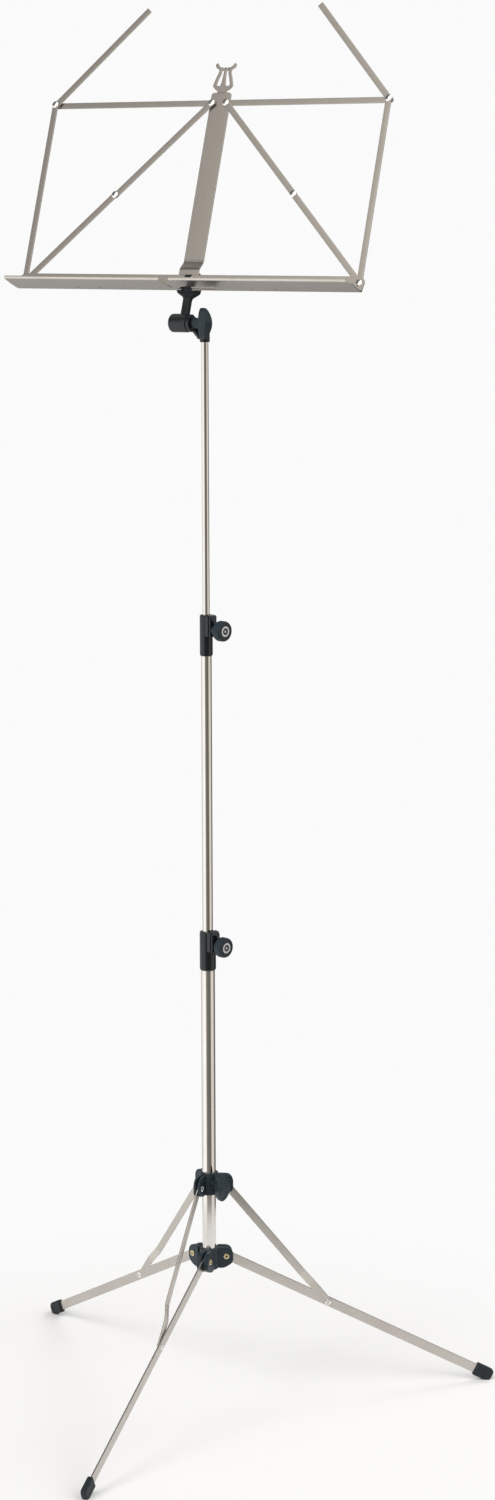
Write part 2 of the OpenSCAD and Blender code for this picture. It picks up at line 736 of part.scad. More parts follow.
// Rivets that the ledges turn on
module bottom_rivets() color(bright) desk_frame() for (side = [-1, 1])
  out_of_desk(side * pivot_half, 0, -desk_front - 3) {
    len = desk_front + 3 + ledge_sheet + free_gap;
    cylinder(h = len, r = desk_rivet_r);
    translate([0, 0, len]) dome(desk_head_r, desk_head_h);
  }

// Rivets that the top bars and the braces turn on
module top_rivets() color(bright) desk_frame() for (side = [-1, 1]) {
  front = upper_brace_w + bar_t + free_gap;
  out_of_desk(side * pivot_half, plate_link, blade_w) {
    cylinder(h = front - blade_w, r = desk_rivet_r);
    translate([0, 0, front - blade_w]) dome(desk_head_r, desk_head_h);
    mirror([0, 0, 1]) dome(desk_head_r - 0.6, desk_head_h - 0.3);
  }
}

// ---------------------------------------------------------------- desk: one half

// The flange that carries the two pivots of a ledge
module flange_outline() difference() {
  union() {
    translate([pivot_half, -ledge_drop - ledge_sheet])
      square([ledge_link, ledge_drop + ledge_sheet + flange_top]);
    translate([pivot_half, 0]) circle(flange_top);
    translate([outer_u, 0]) circle(flange_top - 0.6);
    translate([outer_u - 6, -ledge_drop - ledge_sheet]) square([12, 6]);
  }
  translate([outer_u, flange_top - 3]) square([20, 10]);
  translate([pivot_half, 0]) circle(desk_rivet_r + run_gap);
  translate([outer_u, 0]) circle(desk_rivet_r + press_gap);
}

// The shelf as (across, forward); the right one has a tongue and a window at the centre
module shelf_outline(side) {
  corner = 7;
  tongue = ledge_depth - 23;
  difference() {
    if (side == "right")
      polygon([[-13, tongue], [-4.5, ledge_depth], [outer_u + 6 - corner, ledge_depth],
        [outer_u + 6, ledge_depth - corner], [outer_u + 6, 0], [38, 0], [50, tongue]]);
    else
      polygon([[12.7, 9], [18.9, ledge_depth], [outer_u + 6 - corner, ledge_depth],
        [outer_u + 6, ledge_depth - corner], [outer_u + 6, 0], [5, 0], [5, 7]]);
    // lanced slits in the back strip
    first = side == "right" ? 98 : 117;
    for (u = [first, first + 32]) translate([u, 10]) rotate(55) square([6, 1.1], center = true);
  }
}

// The ledge: flange, shelf with a crease along its middle, and a turned-up front edge
module ledge(side) color(nickel) half(side) {
  floor_v = -ledge_drop - ledge_sheet;
  crease = ledge_depth / 2;
  rise = 1.2;
  lip = 2.2;
  in_desk(0, ledge_sheet) flange_outline();
  intersection() {
    rotate([90, 0, 90]) translate([0, 0, -20]) linear_extrude(outer_u + 40)
      polygon([
        [0, floor_v], [0, floor_v + ledge_sheet],
        [-crease, floor_v + ledge_sheet], [-ledge_depth + ledge_sheet, floor_v + ledge_sheet + rise],
        [-ledge_depth + ledge_sheet, floor_v + ledge_sheet + rise + lip],
        [-ledge_depth, floor_v + ledge_sheet + rise + lip], [-ledge_depth, floor_v + rise],
        [-crease, floor_v]]);
    translate([0, 0, floor_v - 1]) linear_extrude(20) mirror([0, 1]) shelf_outline(side);
  }
}

// Rivet at a ledge's outer end: through the flange and the side bar
module ledge_rivet(side) color(bright) half(side) out_of_desk(outer_u, 0, side_w) {
  cylinder(h = ledge_sheet - side_w, r = desk_rivet_r);
  translate([0, 0, ledge_sheet - side_w]) dome(desk_head_r, desk_head_h);
}

module side_bar(side) color(nickel) half(side) in_desk(side_w, bar_t) difference() {
  bar_outline(outer_u, 0, outer_u, plate_link, bar_w);
  translate([outer_u, 0]) circle(desk_rivet_r + run_gap);
  translate([outer_u, plate_link]) circle(desk_rivet_r + run_gap);
}

module top_bar(side) color(nickel) half(side) in_desk(top_w, bar_t) difference() {
  bar_outline(pivot_half, plate_link, outer_u, plate_link, bar_w);
  translate([pivot_half, plate_link]) circle(desk_rivet_r + run_gap);
  translate([outer_u, plate_link]) circle(desk_rivet_r + press_gap);
}

// Rivet at the desk's top corner, with a collar that spaces the page arm off the top bar
module corner_rivet(side) color(bright) half(side) out_of_desk(outer_u, plate_link, top_w) {
  front = side_w + bar_t + free_gap;
  cylinder(h = front - top_w, r = desk_rivet_r);
  translate([0, 0, front - top_w]) dome(desk_head_r, desk_head_h);
  translate([0, 0, bar_t]) cylinder(h = arm_w - free_gap - top_w - bar_t, r = bar_w / 2);
  mirror([0, 0, 1]) dome(desk_head_r - 0.6, desk_head_h - 0.3);
}

module brace_upper(side) color(nickel) half(side) in_desk(upper_brace_w, bar_t) difference() {
  bar_outline(pivot_half, plate_link, knee_u, knee_v, bar_w);
  translate([pivot_half, plate_link]) circle(desk_rivet_r + run_gap);
  translate([knee_u, knee_v]) circle(desk_rivet_r + press_gap);
}

// Rivet at the brace's knee
module brace_rivet(side) color(bright) half(side) out_of_desk(knee_u, knee_v, upper_brace_w) {
  front = lower_brace_w + bar_t + free_gap;
  cylinder(h = front - upper_brace_w, r = desk_rivet_r);
  translate([0, 0, front - upper_brace_w]) dome(desk_head_r, desk_head_h);
  mirror([0, 0, 1]) dome(desk_head_r - 0.6, desk_head_h - 0.3);
}

module brace_lower(side) color(nickel) half(side) in_desk(lower_brace_w, bar_t) difference() {
  bar_outline(knee_u, knee_v, outer_u, 0, bar_w);
  translate([knee_u, knee_v]) circle(desk_rivet_r + run_gap);
  translate([outer_u, 0]) circle(desk_rivet_r + run_gap);
}

// A page arm: round at its rivet, square at its tip
module page_arm(side) color(nickel) half(side) in_desk(arm_w, bar_t) difference() {
  translate([outer_u, plate_link]) rotate(180 - arm_angle) {
    circle(bar_w / 2);
    translate([0, -bar_w / 2]) square([arm_len - 1, bar_w]);
    translate([arm_len - 2, -bar_w / 2 + 1]) square([2, bar_w - 2]);
  }
  translate([outer_u, plate_link]) circle(desk_rivet_r + run_gap);
}

// ---------------------------------------------------------------- drawing

lower_tube();
base_hub();
hub_eyelets();
lower_clamp();
lower_clamp_nut();
lower_knob();
lower_knob_badge();
lower_knob_screw();
spider();
spider_eyelets();
spider_knob();
spider_knob_screw();
leg(1);  // leg_1
leg(2);  // leg_2
leg(3);  // leg_3
foot(1);  // foot_1
foot(2);  // foot_2
foot(3);  // foot_3
leg_rivet(1);  // leg_rivet_1
leg_rivet(2);  // leg_rivet_2
leg_rivet(3);  // leg_rivet_3
strut(1);  // strut_1
strut(2);  // strut_2
strut(3);  // strut_3
middle_bush();
middle_tube();
upper_clamp();
upper_clamp_nut();
upper_knob();
upper_knob_badge();
upper_knob_screw();
rod_bush();
top_rod();
tilt_fitting();
desk_holder();
centre_plate();
bottom_rivets();
top_rivets();
tilt_nut();
tilt_knob();
tilt_screw();
ledge("left");  // ledge_left
ledge_rivet("left");  // ledge_left_rivet
side_bar("left");  // side_bar_left
top_bar("left");  // top_bar_left
corner_rivet("left");  // corner_rivet_left
brace_upper("left");  // brace_upper_left
brace_rivet("left");  // brace_left_rivet
brace_lower("left");  // brace_lower_left
page_arm("left");  // page_arm_left
ledge("right");  // ledge_right
ledge_rivet("right");  // ledge_right_rivet
side_bar("right");  // side_bar_right
top_bar("right");  // top_bar_right
corner_rivet("right");  // corner_rivet_right
brace_upper("right");  // brace_upper_right
brace_rivet("right");  // brace_right_rivet
brace_lower("right");  // brace_lower_right
page_arm("right");  // page_arm_right
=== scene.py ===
"""Looks of the folding music stand: finished meshes, procedural finishes, light and camera.

Every shape is written in millimetres in a local frame (a leg's plane, a knob's axis, the desk's
plane) and placed in the shared row frame, in metres, as one numpy array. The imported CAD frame
stays as it is; each finished piece rides on its CAD body and stands for its CAD node.
"""

import json
import logging
import math
from dataclasses import dataclass
from enum import Enum
from typing import Callable, Iterable, Sequence

import bmesh
import bpy
import numpy as np
from mathutils import Matrix, Vector

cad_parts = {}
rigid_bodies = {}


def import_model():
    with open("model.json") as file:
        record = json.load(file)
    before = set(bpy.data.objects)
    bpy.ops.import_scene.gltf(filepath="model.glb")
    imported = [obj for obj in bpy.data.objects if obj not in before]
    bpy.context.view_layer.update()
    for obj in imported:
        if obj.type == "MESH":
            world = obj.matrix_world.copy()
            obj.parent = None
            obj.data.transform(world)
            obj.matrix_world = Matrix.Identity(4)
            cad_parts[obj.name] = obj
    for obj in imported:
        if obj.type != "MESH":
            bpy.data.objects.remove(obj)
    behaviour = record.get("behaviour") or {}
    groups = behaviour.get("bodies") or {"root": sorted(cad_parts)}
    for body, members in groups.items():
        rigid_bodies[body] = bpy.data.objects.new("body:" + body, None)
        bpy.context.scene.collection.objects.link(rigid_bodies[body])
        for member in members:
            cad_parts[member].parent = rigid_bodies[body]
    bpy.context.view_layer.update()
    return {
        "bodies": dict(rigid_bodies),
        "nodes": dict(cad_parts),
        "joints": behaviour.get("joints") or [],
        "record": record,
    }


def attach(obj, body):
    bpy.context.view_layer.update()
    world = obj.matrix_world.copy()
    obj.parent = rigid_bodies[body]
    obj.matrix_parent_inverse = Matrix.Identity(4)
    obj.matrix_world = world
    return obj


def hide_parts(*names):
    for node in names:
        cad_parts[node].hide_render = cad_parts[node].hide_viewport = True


LOG = logging.getLogger("music_stand")
MM = 0.001
SHARP_DEG = 38.0
# Angles of the sections that make a bar's round end, from its tip to its full width
ROUND_END = np.radians([8, 20, 35, 50, 65, 80, 90])
# Angles of the steps of a prism's rounded edge
EDGE_TURNS = np.radians([0, 18, 36, 54, 72, 90])
# Radius of the bores round the tilt screw
TILT_BORE = 3.09


class Look(Enum):
    """The finishes, named after the record's material slots; two of them share one slot."""

    NICKEL = "nickel_steel"
    TUBE = "tube_steel"
    BRIGHT = "bright_rivets"
    PLASTIC = "black_plastic"
    BRASS = "brass_parts"
    BADGE = "badge_metal"
    RUBBER = "rubber_feet"
    GLOSS = "gloss_plastic"

    @property
    def slot(self) -> str:
        """The record's slot that this finish belongs to."""
        return Look.PLASTIC.value if self is Look.GLOSS else self.value


class End(Enum):
    """How the end of a flat bar is cut."""

    ROUND = "round"
    SQUARE = "square"


# ---------------------------------------------------------------- frames and shells


@dataclass(frozen=True)
class Frame:
    """A right-handed local frame in the row frame, in millimetres."""

    origin: tuple[float, float, float]
    ex: tuple[float, float, float]
    ey: tuple[float, float, float]

    def place(self, points: np.ndarray) -> np.ndarray:
        """Maps local points to the row frame: p = origin + x ex + y ey + z (ex cross ey).

        Args:
            points: N by 3 local coordinates in millimetres.

        Returns:
            N by 3 row-frame coordinates in millimetres.
        """
        ex, ey = np.array(self.ex, float), np.array(self.ey, float)
        basis = np.stack([ex, ey, np.cross(ex, ey)])
        return np.asarray(points, float) @ basis + np.array(self.origin, float)


@dataclass
class Shell:
    """A closed surface: points, four-sided faces, end caps and a texture coordinate per point."""

    points: np.ndarray
    quads: np.ndarray
    caps: list[tuple[int, ...]]
    uv: np.ndarray

    def placed(self, frame: Frame) -> "Shell":
        """The same shell in the row frame."""
        return Shell(frame.place(self.points), self.quads, self.caps, self.uv)


def loft(sections: np.ndarray, closed: bool = False) -> Shell:
    """Joins S rings of P points into a skin; an open loft gets a cap at each end.

    Face (s, p) has corners s P + p, s P + (p + 1) mod P, and the same two on ring s + 1. The
    texture runs along the loft in u and round the ring in v, both in metres.

    Args:
        sections: S by P by 3 points, in millimetres.
        closed: True if the last ring joins the first one.

    Returns:
        The shell.
    """
    count, ring = sections.shape[:2]
    s = np.arange(count if closed else count - 1)[:, None]
    p = np.arange(ring)[None, :]
    nxt, turn = (s + 1) % count, (p + 1) % ring
    quads = np.stack(
        np.broadcast_arrays(s * ring + p, s * ring + turn, nxt * ring + turn, nxt * ring + p), -1
    ).reshape(-1, 4)
    caps = [] if closed else [tuple(range(ring))[::-1], tuple(range((count - 1) * ring, count * ring))]
    middle = sections.mean(1)
    along = np.r_[0, np.cumsum(np.linalg.norm(np.diff(middle, axis=0), axis=1))]
    step = np.linalg.norm(np.diff(np.concatenate([sections, sections[:, :1]], 1), axis=1), axis=2)
    round_ = np.cumsum(step, 1) - step
    uv = np.stack([np.broadcast_to(along[:, None], round_.shape), round_], -1).reshape(-1, 2)
    return Shell(sections.reshape(-1, 3), quads, caps, uv * MM)


def lathe(profile: Sequence[tuple[float, float]], segments: int = 64, closed: bool = False,
          wave: Callable[[np.ndarray, np.ndarray], np.ndarray] | None = None) -> Shell:
    """Turns a profile of (radius, height) about Z: p = (r cos a, r sin a, h).

    Args:
        profile: Radius and height of each ring, in millimetres.
        segments: Number of points round the axis.
        closed: True for a ring-shaped solid whose profile closes on itself.
        wave: Gives a change of radius from angle and height, for ribs and grip.

    Returns:
        The shell, with u along the axis.
    """
    r, h = np.array(profile, float).T
    a = np.linspace(0, 2 * math.pi, segments, endpoint=False)
    radius = np.broadcast_to(r[:, None], (len(r), segments)).copy()
    if wave is not None:
        radius += wave(a[None, :], h[:, None]) * (radius > 0.01)
    heights = np.broadcast_to(h[:, None], radius.shape)
    shell = loft(np.stack([radius * np.cos(a), radius * np.sin(a), heights], -1), closed)
    shell.uv = np.stack([heights, radius * a], -1).reshape(-1, 2) * MM
    return shell


def inset(outline: np.ndarray, distance: float) -> np.ndarray:
    """Moves each corner of an anticlockwise outline inwards along its mitre by distance.

    With unit edge normals n1 and n2 at a corner, the shift is distance (n1 + n2) / (1 + n1 n2).

    Args:
        outline: N by 2 corners, anticlockwise.
        distance: How far the edges move inwards.

    Returns:
        N by 2 corners of the smaller outline.
    """
    edge = np.roll(outline, -1, 0) - outline
    edge /= np.maximum(np.linalg.norm(edge, axis=1, keepdims=True), 1e-9)
    normal = np.stack([-edge[:, 1], edge[:, 0]], 1)
    before = np.roll(normal, 1, 0)
    share = 1 + np.sum(normal * before, 1, keepdims=True)
    return outline + distance * (normal + before) / np.maximum(share, 0.25)


def prism(outline: np.ndarray, low: float, high: float, bevel: float) -> Shell:
    """A flat solid on an outline, from low to high along Z, with rounded edges.

    The edge is a quarter circle in five steps: inset b (1 - sin a), height b (1 - cos a).

    Args:
        outline: N by 2 corners.
        low: Height of one face.
        high: Height of the other face.
        bevel: Radius of the rounded edges.

    Returns:
        The shell.
    """
    area = 0.5 * np.sum(outline[:, 0] * np.roll(outline[:, 1], -1)
                        - outline[:, 1] * np.roll(outline[:, 0], -1))
    if area < 0:
        outline = outline[::-1]
    ins = bevel * (1 - np.sin(EDGE_TURNS))
    rise = bevel * (1 - np.cos(EDGE_TURNS))
    levels = [(i, low + r) for i, r in zip(ins, rise)]
    levels += [(i, high - r) for i, r in zip(ins[::-1], rise[::-1])]
    rings = [np.column_stack([inset(outline, i), np.full(len(outline), z)]) for i, z in levels]
    shell = loft(np.stack(rings))
    shell.uv = shell.points[:, :2] * MM
    return shell


def rounded(corners: Sequence[tuple[float, float]], radius: float, steps: int = 5) -> np.ndarray:
    """Rounds the corners of a polygon with quadratic arcs: p = (1-t)^2 a + 2t(1-t) c + t^2 b.

    Args:
        corners: Corners of the polygon.
        radius: Length that an arc takes from each side.
        steps: Points on each arc.

    Returns:
        N by 2 points of the outline.
    """
    c = np.array(corners, float)
    back, ahead = np.roll(c, 1, 0) - c, np.roll(c, -1, 0) - c
    lb, la = np.linalg.norm(back, axis=1), np.linalg.norm(ahead, axis=1)
    reach = np.minimum(radius, 0.48 * np.minimum(lb, la))[:, None]
    a, b = c + back / lb[:, None] * reach, c + ahead / la[:, None] * reach
    t = np.linspace(0, 1, steps)[None, :, None]
    return ((1 - t) ** 2 * a[:, None] + 2 * t * (1 - t) * c[:, None] + t**2 * b[:, None]).reshape(-1, 2)


def smooth_path(guide: Sequence[tuple[float, float]], steps: int = 5) -> np.ndarray:
    """A Catmull-Rom curve through points a, b, c, d, ...

    Between b and c it is p = (2b + (c-a)t + (2a-5b+4c-d)t^2 + (3b-a-3c+d)t^3) / 2.

    Args:
        guide: Points that the curve passes through.
        steps: Points from one guide point to the next.

    Returns:
        N by 2 points of the curve.
    """
    p = np.array(guide, float)
    p = np.vstack([2 * p[0] - p[1], p, 2 * p[-1] - p[-2]])
    a, b, c, d = (q[:, None] for q in (p[:-3], p[1:-2], p[2:-1], p[3:]))
    t = np.linspace(0, 1, steps, endpoint=False)[None, :, None]
    curve = 0.5 * (2 * b + (c - a) * t + (2 * a - 5 * b + 4 * c - d) * t**2
                   + (3 * b - a - 3 * c + d) * t**3)
    return np.vstack([curve.reshape(-1, 2), p[-2]])


def disc(radius: float, count: int = 48, centre: tuple[float, float] = (0, 0)) -> np.ndarray:
    """A circle as an outline."""
    a = np.linspace(0, 2 * math.pi, count, endpoint=False)
    return np.stack([centre[0] + radius * np.cos(a), centre[1] + radius * np.sin(a)], 1)


def ribbon(centres: np.ndarray, half_w: np.ndarray, side: np.ndarray, normal: np.ndarray,
           half_t: float, edge: float) -> Shell:
    """A flat strip along a path, with rounded edges.

    Args:
        centres: S by 3 points of its centre line.
        half_w: S half widths.
        side: S by 3 or 3 numbers, the direction of its width.
        normal: S by 3 or 3 numbers, the direction of its thickness.
        half_t: Half the thickness.
        edge: Size of the rounded edge.

    Returns:
        The shell, with u along the strip and v across it.
    """
    count = len(centres)
    side, normal = np.broadcast_to(side, (count, 3)), np.broadcast_to(normal, (count, 3))
    e = np.minimum(edge, 0.45 * half_w)
    m = 0.3 * e
    w = np.stack([half_w, half_w - m, half_w - e, e - half_w, m - half_w, -half_w], 1)
    t = np.stack([half_t - e, half_t - m, half_t + 0 * e, half_t + 0 * e, half_t - m, half_t - e], 1)
    w, t = np.concatenate([w, w[:, ::-1]], 1), np.concatenate([t, -t[:, ::-1]], 1)
    rings = centres[:, None] + w[..., None] * side[:, None] + t[..., None] * normal[:, None]
    shell = loft(rings)
    along = np.r_[0, np.cumsum(np.linalg.norm(np.diff(centres, axis=0), axis=1))]
    shell.uv = np.stack([np.broadcast_to(along[:, None], w.shape), w], -1).reshape(-1, 2) * MM
    return shell


def bar(x1: float, y1: float, x2: float, y2: float, width: float, low: float, thick: float,
        ends: tuple[End, End] = (End.ROUND, End.ROUND), edge: float = 0.35) -> Shell:
    """A flat bar between two points of a plane, with round or square ends.

    At a round end the half width at angle a is r sin a, at r cos a past the end point.

    Args:
        x1: Start, across.
        y1: Start, up.
        x2: End, across.
        y2: End, up.
        width: Width of the bar.
        low: Height of its back face.
        thick: Its thickness.
        ends: How its start and its end are cut.
        edge: Size of the rounded edges.

    Returns:
        The shell.
    """
    a, b = np.array([x1, y1]), np.array([x2, y2])
    length = float(np.linalg.norm(b - a))
    ex = (b - a) / length
    r = width / 2
    head = -r * np.cos(ROUND_END) if ends[0] is End.ROUND else np.array([0.0, edge])
    head_w = r * np.sin(ROUND_END) if ends[0] is End.ROUND else np.array([r - edge, r])
    tail = np.array([length - edge, length])
    if ends[1] is End.ROUND:
        tail = length + r * np.cos(ROUND_END[::-1])
    tail_w = r * np.sin(ROUND_END[::-1]) if ends[1] is End.ROUND else np.array([r, r - edge])
    middle = np.linspace(0, length, 10)[1:-1]
    s = np.r_[head, middle, tail]
    half = np.r_[head_w, np.full(len(middle), r), tail_w]
    flat = a + s[:, None] * ex
    centres = np.column_stack([flat, np.full(len(s), low + thick / 2)])
    return ribbon(centres, half, np.array([-ex[1], ex[0], 0]), np.array([0, 0, 1.0]), thick / 2, edge)


def thick_sheet(points: np.ndarray, present: np.ndarray, thick: float) -> Shell:
    """A sheet of even thickness on a grid of points, with holes where cells are left out.

    The grid's own normal is the cross product of its two central differences, and the second
    face lies at p + thick n. Every edge of a present cell with no present neighbour gets a rim.

    Args:
        points: A by B by 3 points of the first face.
        present: A - 1 by B - 1 booleans, one per cell.
        thick: Thickness in millimetres.

    Returns:
        The closed shell, with u along the first grid direction and v along the second.
    """
    rows, cols = points.shape[:2]
    du, dv = np.gradient(points, axis=0), np.gradient(points, axis=1)
    normal = np.cross(du, dv)
    normal /= np.maximum(np.linalg.norm(normal, axis=2, keepdims=True), 1e-9)
    under = points + thick * normal
    index = np.arange(rows * cols).reshape(rows, cols)
    cell = np.stack([index[:-1, :-1], index[1:, :-1], index[1:, 1:], index[:-1, 1:]], -1)
    top = cell[present]
    pad = np.pad(present, 1)
    rims = []
    for shift, pick in (((0, 1), (3, 0)), ((2, 1), (1, 2)), ((1, 0), (0, 1)), ((1, 2), (2, 3))):
        beside = pad[shift[0]:shift[0] + rows - 1, shift[1]:shift[1] + cols - 1]
        edge = cell[present & ~beside]
        a, b = edge[:, pick[0]], edge[:, pick[1]]
        rims.append(np.stack([b, a, a + rows * cols, b + rows * cols], 1))
    quads = np.concatenate([top, top[:, ::-1] + rows * cols, *rims])
    along = np.cumsum(np.r_[np.zeros((1, cols)), np.linalg.norm(np.diff(points, axis=0), axis=2)], 0)
    across = np.cumsum(np.c_[np.zeros(rows), np.linalg.norm(np.diff(points, axis=1), axis=2)], 1)
    uv = np.stack([along, across], -1).reshape(-1, 2) * MM
    every = np.concatenate([points.reshape(-1, 3), under.reshape(-1, 3)])
    used, packed = np.unique(quads, return_inverse=True)
    return Shell(every[used], packed.reshape(quads.shape), [], np.concatenate([uv, uv])[used])


# ---------------------------------------------------------------- finishes


@dataclass(frozen=True)
class Finish:
    """One procedural finish: the colours, roughness and relief that its shader mixes."""

    look: Look
    light: tuple[float, float, float]
    dark: tuple[float, float, float]
    metallic: float
    smooth: float
    rough: float
    streak: float
    patch: float
    relief: float
    specular: float = 0.5


FINISHES = (
    Finish(Look.NICKEL, (0.57, 0.535, 0.49), (0.42, 0.39, 0.355), 1.0, 0.25, 0.34, 0.26, 0.16, 0.008),
    Finish(Look.TUBE, (0.80, 0.77, 0.73), (0.58, 0.55, 0.51), 1.0, 0.10, 0.17, 0.34, 0.15, 0.008),
    Finish(Look.BRIGHT, (0.90, 0.90, 0.89), (0.70, 0.69, 0.67), 1.0, 0.07, 0.18, 0.0, 0.30, 0.01),
    Finish(Look.PLASTIC, (0.021, 0.034, 0.043), (0.009, 0.015, 0.020), 0.0, 0.30, 0.46, 0.0, 0.50, 0.18,
           0.25),
    Finish(Look.GLOSS, (0.008, 0.012, 0.015), (0.004, 0.006, 0.008), 0.0, 0.10, 0.20, 0.0, 0.45, 0.04,
           0.42),
    Finish(Look.BRASS, (0.74, 0.62, 0.38), (0.42, 0.34, 0.20), 1.0, 0.20, 0.40, 0.0, 0.50, 0.03),
    Finish(Look.BADGE, (0.66, 0.66, 0.67), (0.40, 0.40, 0.42), 1.0, 0.22, 0.40, 0.35, 0.25, 0.02),
    Finish(Look.RUBBER, (0.016, 0.022, 0.027), (0.007, 0.010, 0.013), 0.0, 0.50, 0.74, 0.0, 0.50, 0.30,
           0.30),
)


class NodeGroups:
    """The shader effects that several finishes share."""

    def __init__(self) -> None:
        """Makes the three effects."""
        self.streaks = self._streaks()
        self.patches = self._patches()
        self.grain = self._grain()

    @staticmethod
    def _new(name: str, *outputs: str) -> tuple[bpy.types.NodeTree, bpy.types.Node]:
        """Starts a node group.

        Args:
            name: Its name.
            outputs: Names of its number outputs.

        Returns:
            The group and its output node.
        """
        tree = bpy.data.node_groups.new(name, "ShaderNodeTree")
        for output in outputs:
            tree.interface.new_socket(output, in_out="OUTPUT", socket_type="NodeSocketFloat")
        return tree, tree.nodes.new("NodeGroupOutput")

    @staticmethod
    def _noise(tree: bpy.types.NodeTree, vector: bpy.types.NodeSocket,
               scale: tuple[float, float, float],
               detail: float) -> bpy.types.Node:
        """Adds a noise with its own scale along each axis.

        Args:
            tree: The node group.
            vector: The coordinates that the noise reads.
            scale: Cells per metre along each axis.
            detail: Number of finer layers.

        Returns:
            The noise node.
        """
        mapping = tree.nodes.new("ShaderNodeMapping")
        mapping.inputs["Scale"].default_value = scale
        noise = tree.nodes.new("ShaderNodeTexNoise")
        noise.inputs["Scale"].default_value = 1.0
        noise.inputs["Detail"].default_value = detail
        tree.links.new(vector, mapping.inputs["Vector"])
        tree.links.new(mapping.outputs["Vector"], noise.inputs["Vector"])
        return noise

    def _streaks(self) -> bpy.types.NodeTree:
        """Fine lines along a bar: noise that is 60 times longer than wide in texture space.

        Returns:
            The node group.
        """
        tree, out = self._new("brushed_streaks", "Mask", "Height")
        uv = tree.nodes.new("ShaderNodeUVMap")
        uv.uv_map = "UVMap"
        fine = self._noise(tree, uv.outputs["UV"], (22.0, 2600.0, 1.0), 3.0)
        wide = self._noise(tree, uv.outputs["UV"], (7.0, 420.0, 1.0), 2.0)
        mix = tree.nodes.new("ShaderNodeMix")
        mix.inputs["Factor"].default_value = 0.45
        tree.links.new(fine.outputs["Fac"], mix.inputs["A"])
        tree.links.new(wide.outputs["Fac"], mix.inputs["B"])
        spread = tree.nodes.new("ShaderNodeMapRange")
        spread.inputs["From Min"].default_value = 0.34
        spread.inputs["From Max"].default_value = 0.68
        tree.links.new(mix.outputs["Result"], spread.inputs["Value"])
        tree.links.new(spread.outputs["Result"], out.inputs["Mask"])
        tree.links.new(fine.outputs["Fac"], out.inputs["Height"])
        return tree

    def _patches(self) -> bpy.types.NodeTree:
        """Soft blotches of handling and tarnish, in object space.

        Returns:
            The node group.
        """
        tree, out = self._new("handling_patches", "Mask")
        place = tree.nodes.new("ShaderNodeTexCoord")
        broad = self._noise(tree, place.outputs["Object"], (26.0, 26.0, 14.0), 5.0)
        spots = self._noise(tree, place.outputs["Object"], (190.0, 190.0, 190.0), 4.0)
        mix = tree.nodes.new("ShaderNodeMix")
        mix.inputs["Factor"].default_value = 0.35
        tree.links.new(broad.outputs["Fac"], mix.inputs["A"])
        tree.links.new(spots.outputs["Fac"], mix.inputs["B"])
        spread = tree.nodes.new("ShaderNodeMapRange")
        spread.inputs["From Min"].default_value = 0.36
        spread.inputs["From Max"].default_value = 0.64
        tree.links.new(mix.outputs["Result"], spread.inputs["Value"])
        tree.links.new(spread.outputs["Result"], out.inputs["Mask"])
        return tree

    def _grain(self) -> bpy.types.NodeTree:
        """The fine texture of a moulded or plated surface, in object space.

        Returns:
            The node group.
        """
        tree, out = self._new("surface_grain", "Height")
        place = tree.nodes.new("ShaderNodeTexCoord")
        noise = self._noise(tree, place.outputs["Object"], (2100.0, 2100.0, 2100.0), 2.0)
        tree.links.new(noise.outputs["Fac"], out.inputs["Height"])
        return tree


class Finishes:
    """Makes one material per finish and hands it out by name."""

    def __init__(self) -> None:
        """Makes every material."""
        groups = NodeGroups()
        self._made = {finish.look: self._material(finish, groups) for finish in FINISHES}

    def __getitem__(self, look: Look) -> bpy.types.Material:
        """The material of a finish."""
        return self._made[look]

    @staticmethod
    def _group(tree: bpy.types.NodeTree, group: bpy.types.NodeTree) -> bpy.types.Node:
        """Adds a shared effect to a material's nodes."""
        node = tree.nodes.new("ShaderNodeGroup")
        node.node_tree = group
        return node

    def _material(self, finish: Finish, groups: NodeGroups) -> bpy.types.Material:
        """Mixes light and dark by streaks and patches, and bumps by grain.

        Args:
            finish: The finish to make.
            groups: The shared effects.

        Returns:
            The material.
        """
        material = bpy.data.materials.new(finish.look.value)
        material.use_nodes = True
        tree = material.node_tree
        shader = tree.nodes["Principled BSDF"]
        shader.inputs["Metallic"].default_value = finish.metallic
        shader.inputs["Specular IOR Level"].default_value = finish.specular
        patches = self._group(tree, groups.patches)
        grain = self._group(tree, groups.grain)
        mask = patches.outputs["Mask"]
        height = grain.outputs["Height"]
        if finish.streak > 0:
            streaks = self._group(tree, groups.streaks)
            blend = tree.nodes.new("ShaderNodeMix")
            blend.inputs["Factor"].default_value = finish.streak
            tree.links.new(mask, blend.inputs["A"])
            tree.links.new(streaks.outputs["Mask"], blend.inputs["B"])
            mask, height = blend.outputs["Result"], streaks.outputs["Height"]
        amount = tree.nodes.new("ShaderNodeMath")
        amount.operation = "MULTIPLY"
        amount.inputs[1].default_value = min(1.0, finish.patch + finish.streak)
        tree.links.new(mask, amount.inputs[0])
        colour = tree.nodes.new("ShaderNodeMix")
        colour.data_type = "RGBA"
        colour.inputs["A"].default_value = (*finish.light, 1)
        colour.inputs["B"].default_value = (*finish.dark, 1)
        tree.links.new(amount.outputs["Value"], colour.inputs["Factor"])
        tree.links.new(colour.outputs["Result"], shader.inputs["Base Color"])
        rough = tree.nodes.new("ShaderNodeMapRange")
        rough.inputs["To Min"].default_value = finish.smooth
        rough.inputs["To Max"].default_value = finish.rough
        tree.links.new(amount.outputs["Value"], rough.inputs["Value"])
        tree.links.new(rough.outputs["Result"], shader.inputs["Roughness"])
        bump = tree.nodes.new("ShaderNodeBump")
        bump.inputs["Strength"].default_value = finish.relief
        bump.inputs["Distance"].default_value = 0.0004
        tree.links.new(height, bump.inputs["Height"])
        tree.links.new(bump.outputs["Normal"], shader.inputs["Normal"])
        return material


# ---------------------------------------------------------------- building pieces


